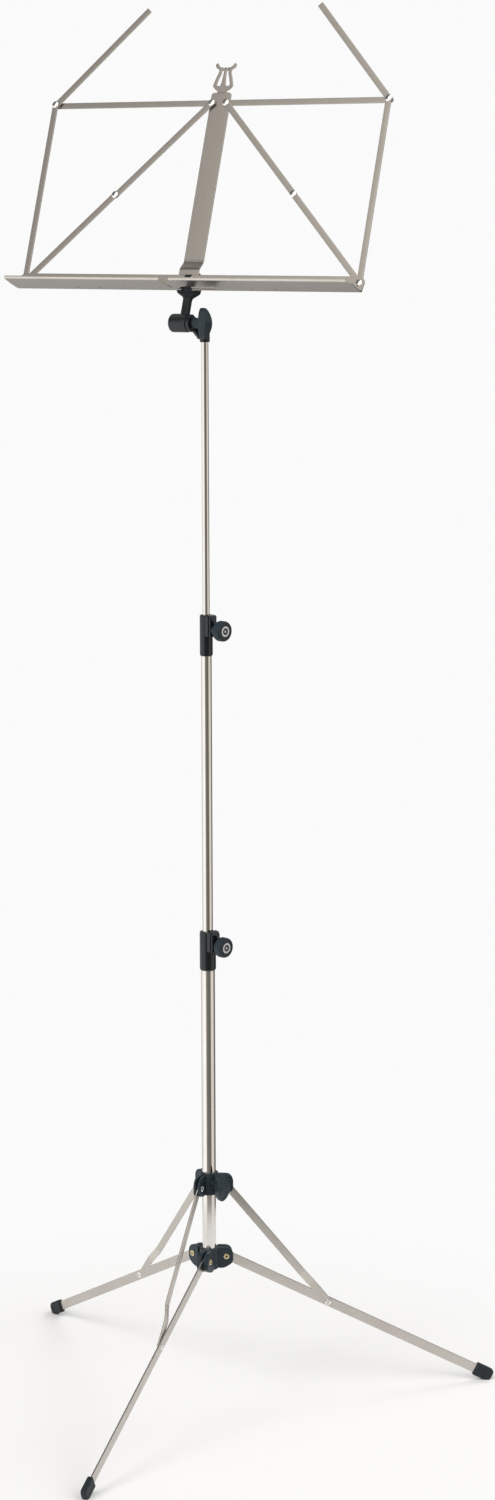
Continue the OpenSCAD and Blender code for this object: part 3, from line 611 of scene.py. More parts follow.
@dataclass
class Workshop:
    """Turns shells into finished objects that ride on the CAD bodies."""

    finishes: Finishes
    body_of: dict[str, str]

    def make(self, node: str, look: Look, shells: Iterable[Shell]) -> bpy.types.Object:
        """Builds the finished piece for a CAD node and puts it on that node's body.

        Args:
            node: The CAD node that the piece stands for.
            look: Its finish.
            shells: Its surfaces in the row frame, in millimetres.

        Returns:
            The object, named after the node.
        """
        shells = list(shells)
        starts = np.cumsum([0] + [len(s.points) for s in shells])
        points = np.concatenate([s.points for s in shells]) * MM
        faces: list[tuple[int, ...]] = []
        for shell, start in zip(shells, starts):
            faces += (shell.quads + start).tolist()
            faces += [tuple(i + int(start) for i in cap) for cap in shell.caps]
        mesh = bpy.data.meshes.new(node + "_look")
        mesh.from_pydata(points.tolist(), [], faces)
        uv = np.concatenate([s.uv for s in shells])
        loops = np.empty(len(mesh.loops), np.int32)
        mesh.loops.foreach_get("vertex_index", loops)
        layer = mesh.uv_layers.new(name="UVMap")
        layer.data.foreach_set("uv", uv[loops].astype(np.float32).ravel())
        work = bmesh.new()
        work.from_mesh(mesh)
        bmesh.ops.recalc_face_normals(work, faces=work.faces)
        work.to_mesh(mesh)
        work.free()
        mesh.polygons.foreach_set("use_smooth", np.ones(len(mesh.polygons), bool))
        mesh.set_sharp_from_angle(angle=math.radians(SHARP_DEG))
        mesh.materials.append(self.finishes[look])
        piece = bpy.data.objects.new(node + "_look", mesh)
        flats = piece.modifiers.new("flat_faces", "WEIGHTED_NORMAL")
        flats.keep_sharp = True
        bpy.context.scene.collection.objects.link(piece)
        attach(piece, self.body_of[node])
        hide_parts(node)
        LOG.info("%s: %s on body %s, %d faces", node, look.value, self.body_of[node],
                 len(mesh.polygons))
        return piece

    def paint(self, node: str, obj: bpy.types.Object, look: Look) -> None:
        """Gives a CAD node that stays in view its finish.

        Args:
            node: Name of the CAD node.
            obj: The node's object.
            look: Its finish.
        """
        obj.data.materials.clear()
        obj.data.materials.append(self.finishes[look])
        LOG.info("%s: keeps its CAD shape, %s", node, look.value)


def polar(angle: float) -> tuple[float, float, float]:
    """The level direction at an angle from +X towards +Y, in degrees."""
    a = math.radians(angle)
    return (math.cos(a), math.sin(a), 0.0)


def axis_frame(angle: float, height: float) -> Frame:
    """A knob's frame: local Z runs out from the pole at that angle, local X points up."""
    x, y, _ = polar(angle)
    return Frame((0, 0, height), (0, 0, 1), (y, -x, 0))


# ---------------------------------------------------------------- pole


@dataclass(frozen=True)
class Pole:
    """The three sections of the pole, in millimetres."""

    lower_r: float = 9.0
    middle_r: float = 6.75
    rod_r: float = 4.5
    wall: float = 1.0
    lower_span: tuple[float, float] = (176, 598.6)
    middle_span: tuple[float, float] = (534.6, 1011)
    rod_span: tuple[float, float] = (899, 1399)
    chamfer: float = 0.5

    @staticmethod
    def _tube(r: float, bore: float, low: float, high: float) -> Shell:
        """A tube with softened rims.

        Args:
            r: Outer radius.
            bore: Inner radius.
            low: Height of its lower end.
            high: Height of its upper end.

        Returns:
            The shell.
        """
        soft = 0.3
        steps = np.linspace(low + soft, high - soft, 12)
        profile = [(bore, low), (r - soft, low)] + [(r, z) for z in steps]
        profile += [(r - soft, high), (bore, high)]
        return lathe(profile, 64, closed=True)

    def build(self, shop: Workshop) -> None:
        """Makes the tubes and the rod.

        Args:
            shop: Builds and places the pieces.
        """
        for node, radius, span in (("lower_tube", self.lower_r, self.lower_span),
                                   ("middle_tube", self.middle_r, self.middle_span)):
            shop.make(node, Look.TUBE, [self._tube(radius, radius - self.wall, *span)])
        (low, high), end_r = self.rod_span, self.rod_r - self.chamfer
        steps = [(self.rod_r, z) for z in np.linspace(low + self.chamfer, high - self.chamfer, 14)]
        rod = lathe([(0.02, low), (end_r, low)] + steps + [(end_r, high), (0.02, high)])
        shop.make("top_rod", Look.TUBE, [rod])


@dataclass(frozen=True)
class Clamp:
    """A pole clamp with its round knob."""

    name: str
    base: float
    tube_r: float
    pin_r: float
    lug_half: float
    slope: float
    turn: float = -17.0
    length: float = 53.0
    screw_z: float = 34.0
    knob_r: float = 13.0
    reach: float = 34.7
    thick: float = 11.0
    wall: float = 1.5
    lug_h: float = 28.0
    lug_reach: float = 7.0
    badge_inset: float = 5.0

    def build(self, shop: Workshop) -> None:
        """Makes the barrel with its lug and grip pads, the knob and the badge.

        Args:
            shop: Builds and places the pieces.
        """
        outer = self.tube_r + self.wall
        high = self.length - self.slope / 2
        barrel = lathe(
            [(self.tube_r + 0.05, 0), (outer - 1.2, 0), (outer - 0.5, 0.6), (outer, 2.2),
             (outer, high - 1.6),
             (outer - 0.5, high - 0.4), (outer - 1.4, high), (self.pin_r + 0.09, high),
             (self.pin_r + 0.09, high - 6), (self.tube_r + 0.05, high - 8)], 72, closed=True)
        lug_end = self.tube_r + self.lug_reach
        low, top = self.length - self.lug_h, self.length
        skin, half = self.tube_r + 0.8, self.lug_half
        a = np.linspace(1, -1, 9) * math.asin(half / skin)
        inner = np.stack([skin * np.cos(a), skin * np.sin(a)], 1)
        b = np.linspace(0, math.pi / 2, 5)
        nose = np.stack([lug_end - 2 + 2 * np.sin(b), 2 - half - 2 * np.cos(b)], 1)
        lug = prism(np.vstack([inner, nose, nose[::-1] * [1, -1]]), low, top, 1.1)
        high = lug.points[:, 2] > (low + top) / 2
        reach = (lug.points[high, 0] - self.tube_r) / self.lug_reach
        lug.points[high, 2] -= self.slope * np.clip(reach, 0, 1)
        lug = lug.placed(Frame((0, 0, self.base), polar(self.turn), polar(self.turn + 90)))
        side = Frame((0, 0, self.base), (0, 0, 1), polar(self.turn + 180))
        shells = [barrel.placed(Frame((0, 0, self.base), (1, 0, 0), (0, 1, 0))), lug]
        for face in (-1, 1):
            pad = rounded([(low + 0.6, -lug_end + 3.4), (low + 0.6, -lug_end + 9.6),
                           (top - 1.6, -lug_end + 9.6),
                           (top - 1.6, -lug_end + 3.4)], 1.0)
            inside, outside = sorted((face * (half - 0.3), face * (half + 1.1)))
            shells.append(prism(pad, inside, outside, 0.5).placed(side))
        shop.make(self.name + "_clamp", Look.GLOSS, shells)
        self._knob(shop, lug_end)

    def _knob(self, shop: Workshop, lug_end: float) -> None:
        """The knob with ribs r + d cos(n a) on its rim, turned about its screw, and its badge.

        Args:
            shop: Builds and places the pieces.
            lug_end: How far the clamp's lug reaches from the pole's axis.
        """
        frame = axis_frame(self.turn, self.base + self.screw_z)
        start, r, badge = self.reach - self.thick, self.knob_r, self.knob_r - self.badge_inset

        def ribs(a: np.ndarray, h: np.ndarray) -> np.ndarray:
            """Grooves round the rim: -0.42 ((1 + cos 36a) / 2)^0.7."""
            band = np.clip((h - start) / 1.5, 0, 1)
            band = band * np.clip((start + self.thick - 1.8 - h) / 1.2, 0, 1)
            return -0.42 * (0.5 + 0.5 * np.cos(36 * a)) ** 0.7 * band

        t = np.linspace(0, 1, 7)
        front = [(r - 3.2 * x**1.6, start + self.thick - 3.0 + 2.7 * math.sin(x * math.pi / 2))
                 for x in t]
        profile = [(3.2, lug_end + 0.3), (5.4, lug_end + 0.3), (6.0, lug_end + 0.9), (6.0, start - 0.2),
                   (7.2, start),
                   (r - 1.2, start), (r - 0.3, start + 0.5), (r, start + 1.5)]
        profile += [(r, h) for h in np.linspace(start + 2.4, start + self.thick - 3.4, 4)] + front
        profile += [(badge + 0.6, self.reach - 0.05), (badge + 0.15, self.reach - 0.4),
                    (badge - 0.6, self.reach - 0.5),
                    (0.02, self.reach - 0.5), (0.02, self.reach - 1.4), (3.2, self.reach - 1.4)]
        shop.make(self.name + "_knob", Look.PLASTIC,
                  [lathe(profile, 288, closed=True, wave=ribs).placed(frame)])
        face, top = self.reach - 0.5, self.reach - 0.05
        ring = [(badge - 3.7, face), (badge - 3.7, top - 0.12), (badge - 3.5, top), (badge - 1.5, top),
                (badge - 1.3, top - 0.12), (badge - 1.3, face)]
        stud = [(0.02, face), (1.7, face), (1.7, top - 0.2), (1.3, top), (0.02, top)]
        shop.make(self.name + "_knob_badge", Look.BADGE,
                  [lathe(ring, 72, closed=True).placed(frame), lathe(stud, 40).placed(frame)])


def wing(hub_from: float, wing_from: float, thick: float = 12.0, height: float = 38.0,
         width: float = 17.0) -> list[Shell]:
    """A wing knob along Z: a ribbed hub, and an oval leaf with a crown z = t (1 - 0.42 (x/h)^2).

    Args:
        hub_from: Start of the hub along Z.
        wing_from: Start of the leaf along Z.
        thick: Thickness of the leaf at its middle.
        height: Length of the leaf.
        width: Width of the leaf.

    Returns:
        The hub and the leaf.
    """
    def ribs(a: np.ndarray, h: np.ndarray) -> np.ndarray:
        """Ribs round the hub: -0.35 (1 + cos 24a) / 2."""
        return -0.35 * (0.5 + 0.5 * np.cos(24 * a)) * np.clip((wing_from - 0.4 - h) / 0.6, 0, 1)

    hub = lathe([(3.2, hub_from), (5.7, hub_from), (6.3, hub_from + 0.6), (6.3, wing_from - 1.2),
                 (6.3, wing_from + 2.0), (3.2, wing_from + 2.0)], 144, closed=True, wave=ribs)
    a = np.linspace(0, 2 * math.pi, 96, endpoint=False)
    x, y = np.cos(a), np.sign(np.sin(a)) * np.abs(np.sin(a)) ** 0.95
    crown = 1 - 0.42 * x**2
    turn = np.radians(np.linspace(0, 90, 5))
    foot = [(1 - 0.06 * (1 - math.sin(q)), 0.05 * (1 - math.cos(q))) for q in turn]
    lid = [(1 - 0.16 * (1 - math.cos(q)), 0.80 + 0.20 * math.sin(q)) for q in turn]
    rings = [np.column_stack([height / 2 * x * s, width / 2 * y * s, wing_from + thick * level * crown])
             for s, level in foot + [(1.0, 0.4), (1.0, 0.62)] + lid]
    centre = np.column_stack([0 * x, 0 * x, np.full(96, wing_from + thick)])
    rim = rings[-1]
    rings += [rim + (centre - rim) * share for share in (0.35, 0.7, 0.95)]
    leaf = loft(np.stack(rings))
    return [hub, leaf]


# ---------------------------------------------------------------- tripod


@dataclass(frozen=True)
class Tripod:
    """The folding base: hub, spider, legs, struts, feet and their rivets."""

    turn: float = 34.0
    pivot_r: float = 22.0
    pivot_z: float = 188.0
    leg_reach: float = 348.0
    leg_h: float = 12.5
    leg_t: float = 2.2
    leg_y: float = 3.5
    strut_at: float = 152.0
    strut_w: float = 10.2
    strut_t: float = 2.0
    spider_z: float = 274.0
    spider_h: float = 29.0
    spider_cheek: float = 3.2
    spider_pivot: float = 12.0
    hub_low: float = 172.0
    hub_high: float = 200.0
    hub_cheek: float = 6.6
    knob_turn: float = -60.0
    joggle: float = 5.0
    foot_wider: float = 5.0
    foot_back: float = 17.0
    foot_thicker: float = 5.6
    gap: float = 0.3

    @property
    def foot_z(self) -> float:
        """Height of the middle of a foot."""
        return (self.leg_h + self.foot_wider) / 2 - 0.5

    @property
    def drop(self) -> float:
        """Angle of the legs below level, in radians."""
        return math.atan2(self.pivot_z - self.foot_z, self.leg_reach)

    @property
    def rivet(self) -> tuple[float, float]:
        """Where a strut meets its leg, as distance from the pole and height."""
        return (self.pivot_r + self.strut_at * math.cos(self.drop),
                self.pivot_z - self.strut_at * math.sin(self.drop))

    def plane(self, k: int) -> Frame:
        """A leg's plane: local X away from the pole, local Y up, local Z across, towards -t."""
        return Frame((0, 0, 0), polar(self.turn + 120 * (k - 1)), (0, 0, 1))

    def build(self, shop: Workshop) -> None:
        """Makes every piece of the base.

        Args:
            shop: Builds and places the pieces.
        """
        self._hub(shop)
        self._spider(shop)
        for k in (1, 2, 3):
            self._leg(shop, k)
            self._strut(shop, k)

    def _cheek(self, k: int, t1: float, t2: float, z1: float, z2: float, foot: float) -> Shell:
        """One cheek of an ear.

        Args:
            k: Number of the leg, 1 to 3.
            t1: Near face, across the leg's plane.
            t2: Far face, across the leg's plane.
            z1: Height of its foot.
            z2: Height of its top.
            foot: Height of the slope at its foot.

        Returns:
            The shell.
        """
        reach = self.pivot_r + 9
        outline = rounded([(10, z1), (self.pivot_r - 2, z1), (reach, z1 + foot), (reach, z2 - 6.5),
                           (reach - 4.5, z2 - 1),
                           (self.pivot_r - 4, z2), (10, z2)], 4.5, 6)
        return prism(outline, -t2, -t1, 1.0).placed(self.plane(k))

    def _hub(self, shop: Workshop) -> None:
        """The hub with its three forked ears, and their hollow rivets.

        Args:
            shop: Builds and places the pieces.
        """
        low, high = self.hub_low, self.hub_high
        slot = self.leg_t / 2 + self.gap
        shells = [lathe([(9.05, low + 4), (9.05, high), (11.6, high), (12.6, high - 1),
                         (12.6, low + 1.2), (11.4, low),
                         (0.02, low), (0.02, low + 4)], 72)]
        for k in (1, 2, 3):
            y = self.leg_y
            shells.append(self._cheek(k, y - slot - self.hub_cheek, y - slot, low, high, 7))
            shells.append(self._cheek(k, y + slot, y + slot + self.hub_cheek, low, high, 7))
            web = rounded([(10, low + 1), (14.5, low + 1), (14.5, high - 1), (10, high - 1)], 1.0)
            shells.append(prism(web, -y - slot - 1, -y + slot + 1, 0.4).placed(self.plane(k)))
        shop.make("base_hub", Look.PLASTIC, shells)
        half = slot + self.hub_cheek
        rivets = [self._eyelet(k, self.pivot_r, self.pivot_z, self.leg_y - half, self.leg_y + half)
                  for k in (1, 2, 3)]
        shop.make("hub_eyelets", Look.BRASS, rivets)

    def _eyelet(self, k: int, r: float, z: float, t1: float, t2: float,
                heads: tuple[bool, bool] = (True, True)) -> Shell:
        """A hollow rivet across a leg's plane, with a rolled flange at each marked end.

        Args:
            k: Number of the leg, 1 to 3.
            r: Distance of its axis from the pole.
            z: Height of its axis.
            t1: One end, across the leg's plane.
            t2: The other end.
            heads: Whether the ends at t1 and t2 have a flange.

        Returns:
            The shell.
        """
        body, bore, head, lip = 2.5, 1.35, 4.0, 1.15
        low, high = -t2, -t1
        profile = [(bore, low), (bore, high)]
        if heads[0]:
            profile += [(bore + 0.25, high + lip * 0.7), (bore + 0.8, high + lip),
                        (head - 1.1, high + lip),
                        (head - 0.3, high + lip * 0.7), (head, high + 0.2), (head - 0.1, high)]
        profile += [(body, high), (body, low)]
        if heads[1]:
            profile += [(head - 0.1, low), (head, low - 0.2), (head - 0.3, low - lip * 0.7),
                        (head - 1.1, low - lip),
                        (bore + 0.8, low - lip), (bore + 0.25, low - lip * 0.7)]
        plane = self.plane(k)
        centre = plane.place(np.array([[r, z, 0.0]]))[0]
        return lathe(profile, 40, closed=True).placed(Frame(tuple(centre), plane.ex, plane.ey))

    def _spider(self, shop: Workshop) -> None:
        """The spider with its three forked ears, their rivets and its wing knob.

        Args:
            shop: Builds and places the pieces.
        """
        low, high, cheek = self.spider_z, self.spider_z + self.spider_h, self.spider_cheek
        main = self._main_t
        slot = self.strut_t / 2 + self.gap
        shells = [lathe([(9.09, low), (11.8, low), (13, low + 1.2), (13, high - 4), (12.4, high - 3.2),
                         (12.2, high - 1),
                         (11.2, high), (9.09, high)], 72, closed=True)]
        for k in (1, 2, 3):
            for t1, t2 in ((main - slot - cheek, main - slot), (main + slot, main + slot + cheek)):
                shells.append(self._cheek(k, t1, t2, low, high - 2, 4))
            web = rounded([(10, low + 1), (14.5, low + 1), (14.5, high - 3), (10, high - 3)], 1.0)
            shells.append(prism(web, -main - slot - 1, -main + slot + 1, 0.4).placed(self.plane(k)))
        height = low + 15
        frame = axis_frame(self.turn + self.knob_turn, height)
        boss = lathe([(0.02, 11.5), (7, 11.5), (7, 14.6), (6.3, 15.5), (0.02, 15.5)], 56)
        shells.append(boss.placed(frame))
        shop.make("spider", Look.PLASTIC, shells)
        rivets = []
        for k in (1, 2, 3):
            pivot = (k, self.pivot_r, low + self.spider_pivot)
            rivets.append(self._eyelet(*pivot, main - slot - cheek, main - slot, (True, False)))
            rivets.append(self._eyelet(*pivot, main + slot, main + slot + cheek, (False, True)))
        shop.make("spider_eyelets", Look.BRIGHT, rivets)
        shop.make("spider_knob", Look.PLASTIC, [s.placed(frame) for s in wing(15.8, 24.0)])

    @property
    def _end_t(self) -> float:
        """Offset of the strut's lower end from the leg's plane."""
        return self.leg_y - self.leg_t / 2 - self.gap - self.strut_t / 2

    @property
    def _main_t(self) -> float:
        """Offset of the strut's upper part from the leg's plane."""
        return self._end_t - self.joggle

    def _leg(self, shop: Workshop, k: int) -> None:
        """A leg, its rubber foot and the rivet that joins its strut.

        Args:
            shop: Builds and places the pieces.
            k: Number of the leg, 1 to 3.
        """
        end = (self.pivot_r + self.leg_reach, self.foot_z)
        low = -self.leg_y - self.leg_t / 2
        leg = bar(self.pivot_r, self.pivot_z, *end, self.leg_h, low, self.leg_t, edge=0.45)
        shop.make(f"leg_{k}", Look.NICKEL, [leg.placed(self.plane(k))])
        half, back = (self.leg_h + self.foot_wider) / 2, self.foot_back
        d = np.array([math.cos(self.drop), -math.sin(self.drop)])
        n = np.array([-d[1], d[0]])
        a = np.linspace(-90, 90, 25)
        far, wide = np.cos(np.radians(a)) ** 0.6, np.sin(np.radians(a))
        wide = np.sign(wide) * np.abs(wide) ** 0.6
        tip = np.array(end) + half * (far[:, None] * d + wide[:, None] * n)
        start = np.array(end) - back * d
        outline = np.vstack([start - (half - 0.9) * n, start + 1.2 * d - half * n, tip,
                             start + 1.2 * d + half * n,
                             start + (half - 0.9) * n])
        thick = self.leg_t + self.foot_thicker
        cap = prism(outline, -self.leg_y - thick / 2, -self.leg_y + thick / 2, 1.9)
        cap.points[:, 1] = np.maximum(cap.points[:, 1], 0.0)
        shop.make(f"foot_{k}", Look.RUBBER, [cap.placed(self.plane(k))])
        r, z = self.rivet
        t1, t2 = self._end_t - self.strut_t / 2 - self.gap, self.leg_y + self.leg_t / 2
        shop.make(f"leg_rivet_{k}", Look.BRIGHT, [self._eyelet(k, r, z, t1, t2)])

    def _strut(self, shop: Workshop, k: int) -> None:
        """The strut: straight ends, joined by an S-bend t = t0 + (t1 - t0)(3x^2 - 2x^3).

        Args:
            shop: Builds and places the pieces.
            k: Number of the leg, 1 to 3.
        """
        r, z = self.rivet
        run, rise = self.pivot_r - r, self.spider_z + self.spider_pivot - z
        length = math.hypot(run, rise)
        along = np.array([run, rise, 0]) / length
        side = np.array([along[1], -along[0], 0])
        half = self.strut_w / 2
        s = np.r_[-half * np.cos(ROUND_END), np.linspace(10, 32, 4), np.linspace(35, 56, 9),
                  np.linspace(62, length - 8, 8),
                  length + half * np.cos(ROUND_END[::-1])]
        w = np.r_[half * np.sin(ROUND_END), np.full(21, half), half * np.sin(ROUND_END[::-1])]
        x = np.clip((s - 34) / 23, 0, 1)
        t = self._end_t + (self._main_t - self._end_t) * (0.6 * x + 0.4 * (3 * x**2 - 2 * x**3))
        centres = np.array([r, z, 0]) + s[:, None] * along - t[:, None] * np.array([0, 0, 1])
        strip = ribbon(centres, w, side, np.array([0, 0, 1.0]), self.strut_t / 2, 0.4)
        shop.make(f"strut_{k}", Look.NICKEL, [strip.placed(self.plane(k))])


# ---------------------------------------------------------------- desk


@dataclass(frozen=True)
class Desk:
    """The folding desk on its tilt joint."""

    tilt: float = 20.0
    x: float = -17.0
    tilt_y: float = 23.0
    tilt_z: float = 1400.0
    rise: float = 50.8
    front: float = 8.3
    link: float = 226.0
    plate_link: float = 235.0
    half_gap: float = 10.0
    bar_w: float = 7.8
    bar_t: float = 1.5
    gap: float = 0.3
    plate_w: float = 28.0
    plate_t: float = 1.5
    arm_len: float = 170.0
    arm_angle: float = 47.5
    depth: float = 39.5
    sheet: float = 1.2
    drop: float = 11.0
    flange_top: float = 8.4
    ledge_end_r: float = 7.8
    ledge_bend: float = 2.0
    fold_steps: int = 5
    shelf_rise: float = 1.2
    lip_h: float = 2.2
    window_w: float = 16.5
    joggle_low: float = 16.0
    joggle_run: float = 12.0

    @property
    def layer(self) -> float:
        """Distance between the layers of the desk's bars."""
        return self.bar_t + self.gap

    @property
    def frame(self) -> Frame:
        """The desk's plane: local X across, local Y up along the desk, local Z to the reader.

        Returns:
            The frame, with its origin between the two bottom pivots.
        """
        t = math.radians(self.tilt)
        y = -self.front * math.cos(t) + self.rise * math.sin(t) - self.tilt_y
        z = self.front * math.sin(t) + self.rise * math.cos(t) + self.tilt_z
        return Frame((self.x, y, z), (1, 0, 0), (0, math.sin(t), math.cos(t)))

    @property
    def blade(self) -> float:
        """Back face of the centre plate."""
        return -4 * self.layer - self.gap - self.plate_t

    def build(self, shop: Workshop) -> None:
        """Makes the desk and its tilt joint.

        Args:
            shop: Builds and places the pieces.
        """
        self._holder(shop)
        self._fitting(shop)
        self._plate(shop)
        self._rivets(shop)
        for side in (-1, 1):
            self._half(shop, side)

    def _along_x(self, x: float, y: float, z: float) -> Frame:
        """A frame whose local Z runs along +X."""
        return Frame((x, y, z), (0, 1, 0), (0, 0, 1))

    def _holder(self, shop: Workshop) -> None:
        """The holder behind the plate: head, neck, key and the barrel on the tilt axis.

        Args:
            shop: Builds and places the pieces.
        """
        f = self.frame
        mid = -self.front
        head, neck = self.plate_w / 2 + 1, 4.6
        low = -self.drop - 1.6
        outline = rounded([(-head, 12), (-head, low), (-neck, low - 6.4), (-neck, -self.rise + 4),
                           (neck, -self.rise + 4),
                           (neck, low - 6.4), (head, low), (head, 12)], 2.6)
        shells = [prism(outline, mid - 4.5, mid + 4.5, 1.3).placed(f)]
        pad = rounded([(-14, 12), (-14, low), (14, low), (14, 12)], 1.5)
        shells.append(prism(pad, mid, -self.gap - self.plate_t, 0.4).placed(f))
        key = rounded([(-5, 9), (-5, -5.5), (5, -5.5), (5, 9)], 1.0)
        shells.append(prism(key, mid, -self.gap, 0.4).placed(f))
        a = np.linspace(0, math.pi / 2, 9)
        ball = [(11.5 - 4.5 * (1 - math.sin(x)), 4.5 * (1 - math.cos(x))) for x in a]
        barrel = [(5.6, 2.2), (5.6, 0.25)] + [(max(r, 5.6), z) for r, z in ball] + [
            (11.5, 24.2), (11.0, 25.0), (TILT_BORE, 25.0), (TILT_BORE, 2.2)]
        centre = (self.x - 18, -self.tilt_y, self.tilt_z)
        shells.append(lathe(barrel, 80, closed=True).placed(self._along_x(*centre)))
        shop.make("desk_holder", Look.GLOSS, shells)

    def _fitting(self, shop: Workshop) -> None:
        """The head on the rod, with the eye of the tilt joint, and the wing knob.

        Args:
            shop: Builds and places the pieces.
        """
        start = self.x + 7 + self.gap
        z0 = self.tilt_z
        eye = lathe([(TILT_BORE, 0), (10.2, 0), (10.9, 0.7), (10.9, 4.3), (10.2, 5), (TILT_BORE, 5)],
                    72, closed=True)
        shells = [eye.placed(self._along_x(start, -self.tilt_y, z0))]
        arm = rounded([(-self.tilt_y, z0 + 8), (-self.tilt_y, z0 - 8), (-self.tilt_y + 6, z0 - 10),
                       (0, z0 - 21),
                       (3, z0 + 4), (-self.tilt_y + 10, z0 + 7)], 3.0)
        shells.append(prism(arm, start + 0.15, start + 4.85, 0.9).placed(self._along_x(0, 0, 0)))
        web = rounded([(-3, z0 - 20.5), (3, z0 - 20.5), (3, z0 + 3.5), (-3, z0 + 3.5)], 1.5)
        shells.append(prism(web, start + 0.4, -1.0, 0.5).placed(self._along_x(0, 0, 0)))
        low, high = z0 - 24, z0 + 4
        shells.append(lathe([(4.55, low), (5.6, low), (6.3, low + 0.8), (6.3, high - 1.6),
                             (5.4, high - 0.4), (4, high),
                             (0.02, high), (0.02, high - 4.9), (4.55, high - 4.9)], 64))
        shop.make("tilt_fitting", Look.GLOSS, shells)
        frame = Frame((0, -self.tilt_y, z0), (0, 0, 1), (0, -1, 0))
        shop.make("tilt_knob", Look.PLASTIC, [s.placed(frame) for s in wing(start + 5.3, 7.2)])

    def _plate(self, shop: Workshop) -> None:
        """The plate's strip with its joggle, its two ears, and the lyre's strokes.

        Args:
            shop: Builds and places the pieces.
        """
        tab = -self.gap - self.plate_t / 2
        blade = self.blade + self.plate_t / 2
        top = self.plate_link + 14.5
        a = np.radians(np.linspace(0, 90, 7))
        v = np.r_[9.1, 12, 15, np.linspace(16, 28, 9), np.linspace(32, top - 5, 24),
                  top - 4 + 4 * np.sin(a)]
        half = np.r_[np.full(36, 14.0), 10 + 4 * np.cos(a)]
        x = np.clip((v - self.joggle_low) / self.joggle_run, 0, 1)
        w = tab + (blade - tab) * (0.6 * x + 0.4 * (3 * x**2 - 2 * x**3))
        centres = np.stack([0 * v, v, w], 1)
        ex, ez = np.array([1.0, 0, 0]), np.array([0, 0, 1.0])
        shells = [ribbon(centres, half, ex, ez, self.plate_t / 2, 0.35)]
        for side in (-1, 1):
            low, high = sorted((side * 5.1, side * 14.0))
            ear = rounded([(low, -6), (high, -6), (high, 9.1), (low, 9.1)], 1.0)
            shells.append(prism(ear, -self.gap - self.plate_t, -self.gap, 0.3))
        shells += self._lyre(top, blade)
        shop.make("centre_plate", Look.NICKEL, [s.placed(self.frame) for s in shells])

    def _stroke(self, path: np.ndarray, width: np.ndarray, level: float, thin: float) -> Shell:
        """A strip that follows a curve in the plate's plane; its side is the tangent turned by 90 degrees.

        Args:
            path: N by 2 points of its centre line.
            width: N widths.
            level: Height of its middle.
            thin: How much thinner than half the plate it is, so that strokes don't share a face.

        Returns:
            The shell.
        """
        tangent = np.gradient(path, axis=0)
        tangent /= np.linalg.norm(tangent, axis=1, keepdims=True)
        side = np.column_stack([-tangent[:, 1], tangent[:, 0], np.zeros(len(path))])
        centres = np.column_stack([path, np.full(len(path), level)])
        return ribbon(centres, width / 2, side, np.array([0, 0, 1.0]), self.plate_t / 2 - thin, 0.3)

    def _lyre(self, top: float, level: float) -> list[Shell]:
        """The lyre: a solid foot, arms on smooth curves through their own few points, and a string.

        Args:
            top: Height of the plate's shoulder.
            level: Height of the plate's middle.

        Returns:
            The shells, in the desk's plane.
        """
        wide, low, high = 14.0, top + 8, top + 28.5
        foot = [(6.2, low - 9), (6.5, low - 6), (9.6, low - 4.4), (13.2, low - 1), (14.0, low + 1.4),
                (10.6, low + 2.6), (7.0, low + 0.6), (3.6, low + 1.2)]
        outline = rounded(foot + [(-x, y) for x, y in foot[::-1]], 1.6)
        low_z, high_z = self.blade, self.blade + self.plate_t
        neck = rounded([(-6.6, top - 3), (6.6, top - 3), (6.2, low - 7), (-6.2, low - 7)], 0.5)
        shells = [prism(outline, low_z, high_z, 0.3), prism(neck, low_z + 0.02, high_z - 0.02, 0.25)]
        for side in (-1, 1):
            guide = [(wide - 1.9, low), (wide - 2.6, low + 3.2), (9.4, low + 10.5), (7.0, low + 17.5),
                     (6.9, high + 1),
                     (8.8, high + 4.0), (11.2, high + 5.4), (12.7, high + 7.8), (11.3, high + 9.4)]
            path = smooth_path([(side * x, y) for x, y in guide])
            width = np.interp(np.linspace(0, 1, len(path)), [0, 0.3, 0.55, 0.8, 1.0],
                              [4.6, 4.3, 3.9, 4.5, 3.4])
            shells.append(self._stroke(path, width, level, 0.03))
        wave = np.linspace(-7.4, 7.4, 33)
        cross = np.stack([wave, high + 2.2 + 0.4 * np.cos(wave * math.pi / 2.45)], 1)
        shells.append(self._stroke(cross, 4.0 + 0.8 * np.cos(wave * math.pi / 2.45), level, 0.05))
        string = np.stack([np.zeros(9), np.linspace(low - 1.0, high + 1.2, 9)], 1)
        shells.append(self._stroke(string, np.array([8.8, 7.4, 6.2, 5.4, 4.8, 4.3, 3.9, 3.6, 3.4]),
                                   level, 0.07))
        return shells

    def _rivet(self, u: float, v: float, low: float, high: float, r: float = 4.3, h: float = 1.2,
               back: bool = True) -> Shell:
        """A rivet along the desk's normal: a shank with a domed head in front and a flat one behind.

        Args:
            u: Its place across the desk.
            v: Its place up the desk.
            low: Start of its shank.
            high: End of its shank.
            r: Radius of its head.
            h: Height of its head.
            back: Whether it has a flat head behind.

        Returns:
            The shell.
        """
        cap = 0.8 * h
        ball = (r * r + cap * cap) / (2 * cap)
        a = np.linspace(math.asin(min(1.0, r / ball)), 0.04, 9)
        profile = [(0.02, low - (0.9 if back else 0.0))]
        if back:
            profile += [(r - 1.4, low - 0.9), (r - 0.7, low - 0.5), (r - 0.6, low)]
        profile += [(2.2, low), (2.2, high), (r - 0.2, high), (r, high + 0.12)]
        profile += [(ball * math.sin(x), high + 0.2 * h + cap - ball + ball * math.cos(x)) for x in a]
        shell = lathe(profile, 44)
        shell.points = shell.points + np.array([u, v, 0.0])
        return shell.placed(self.frame)

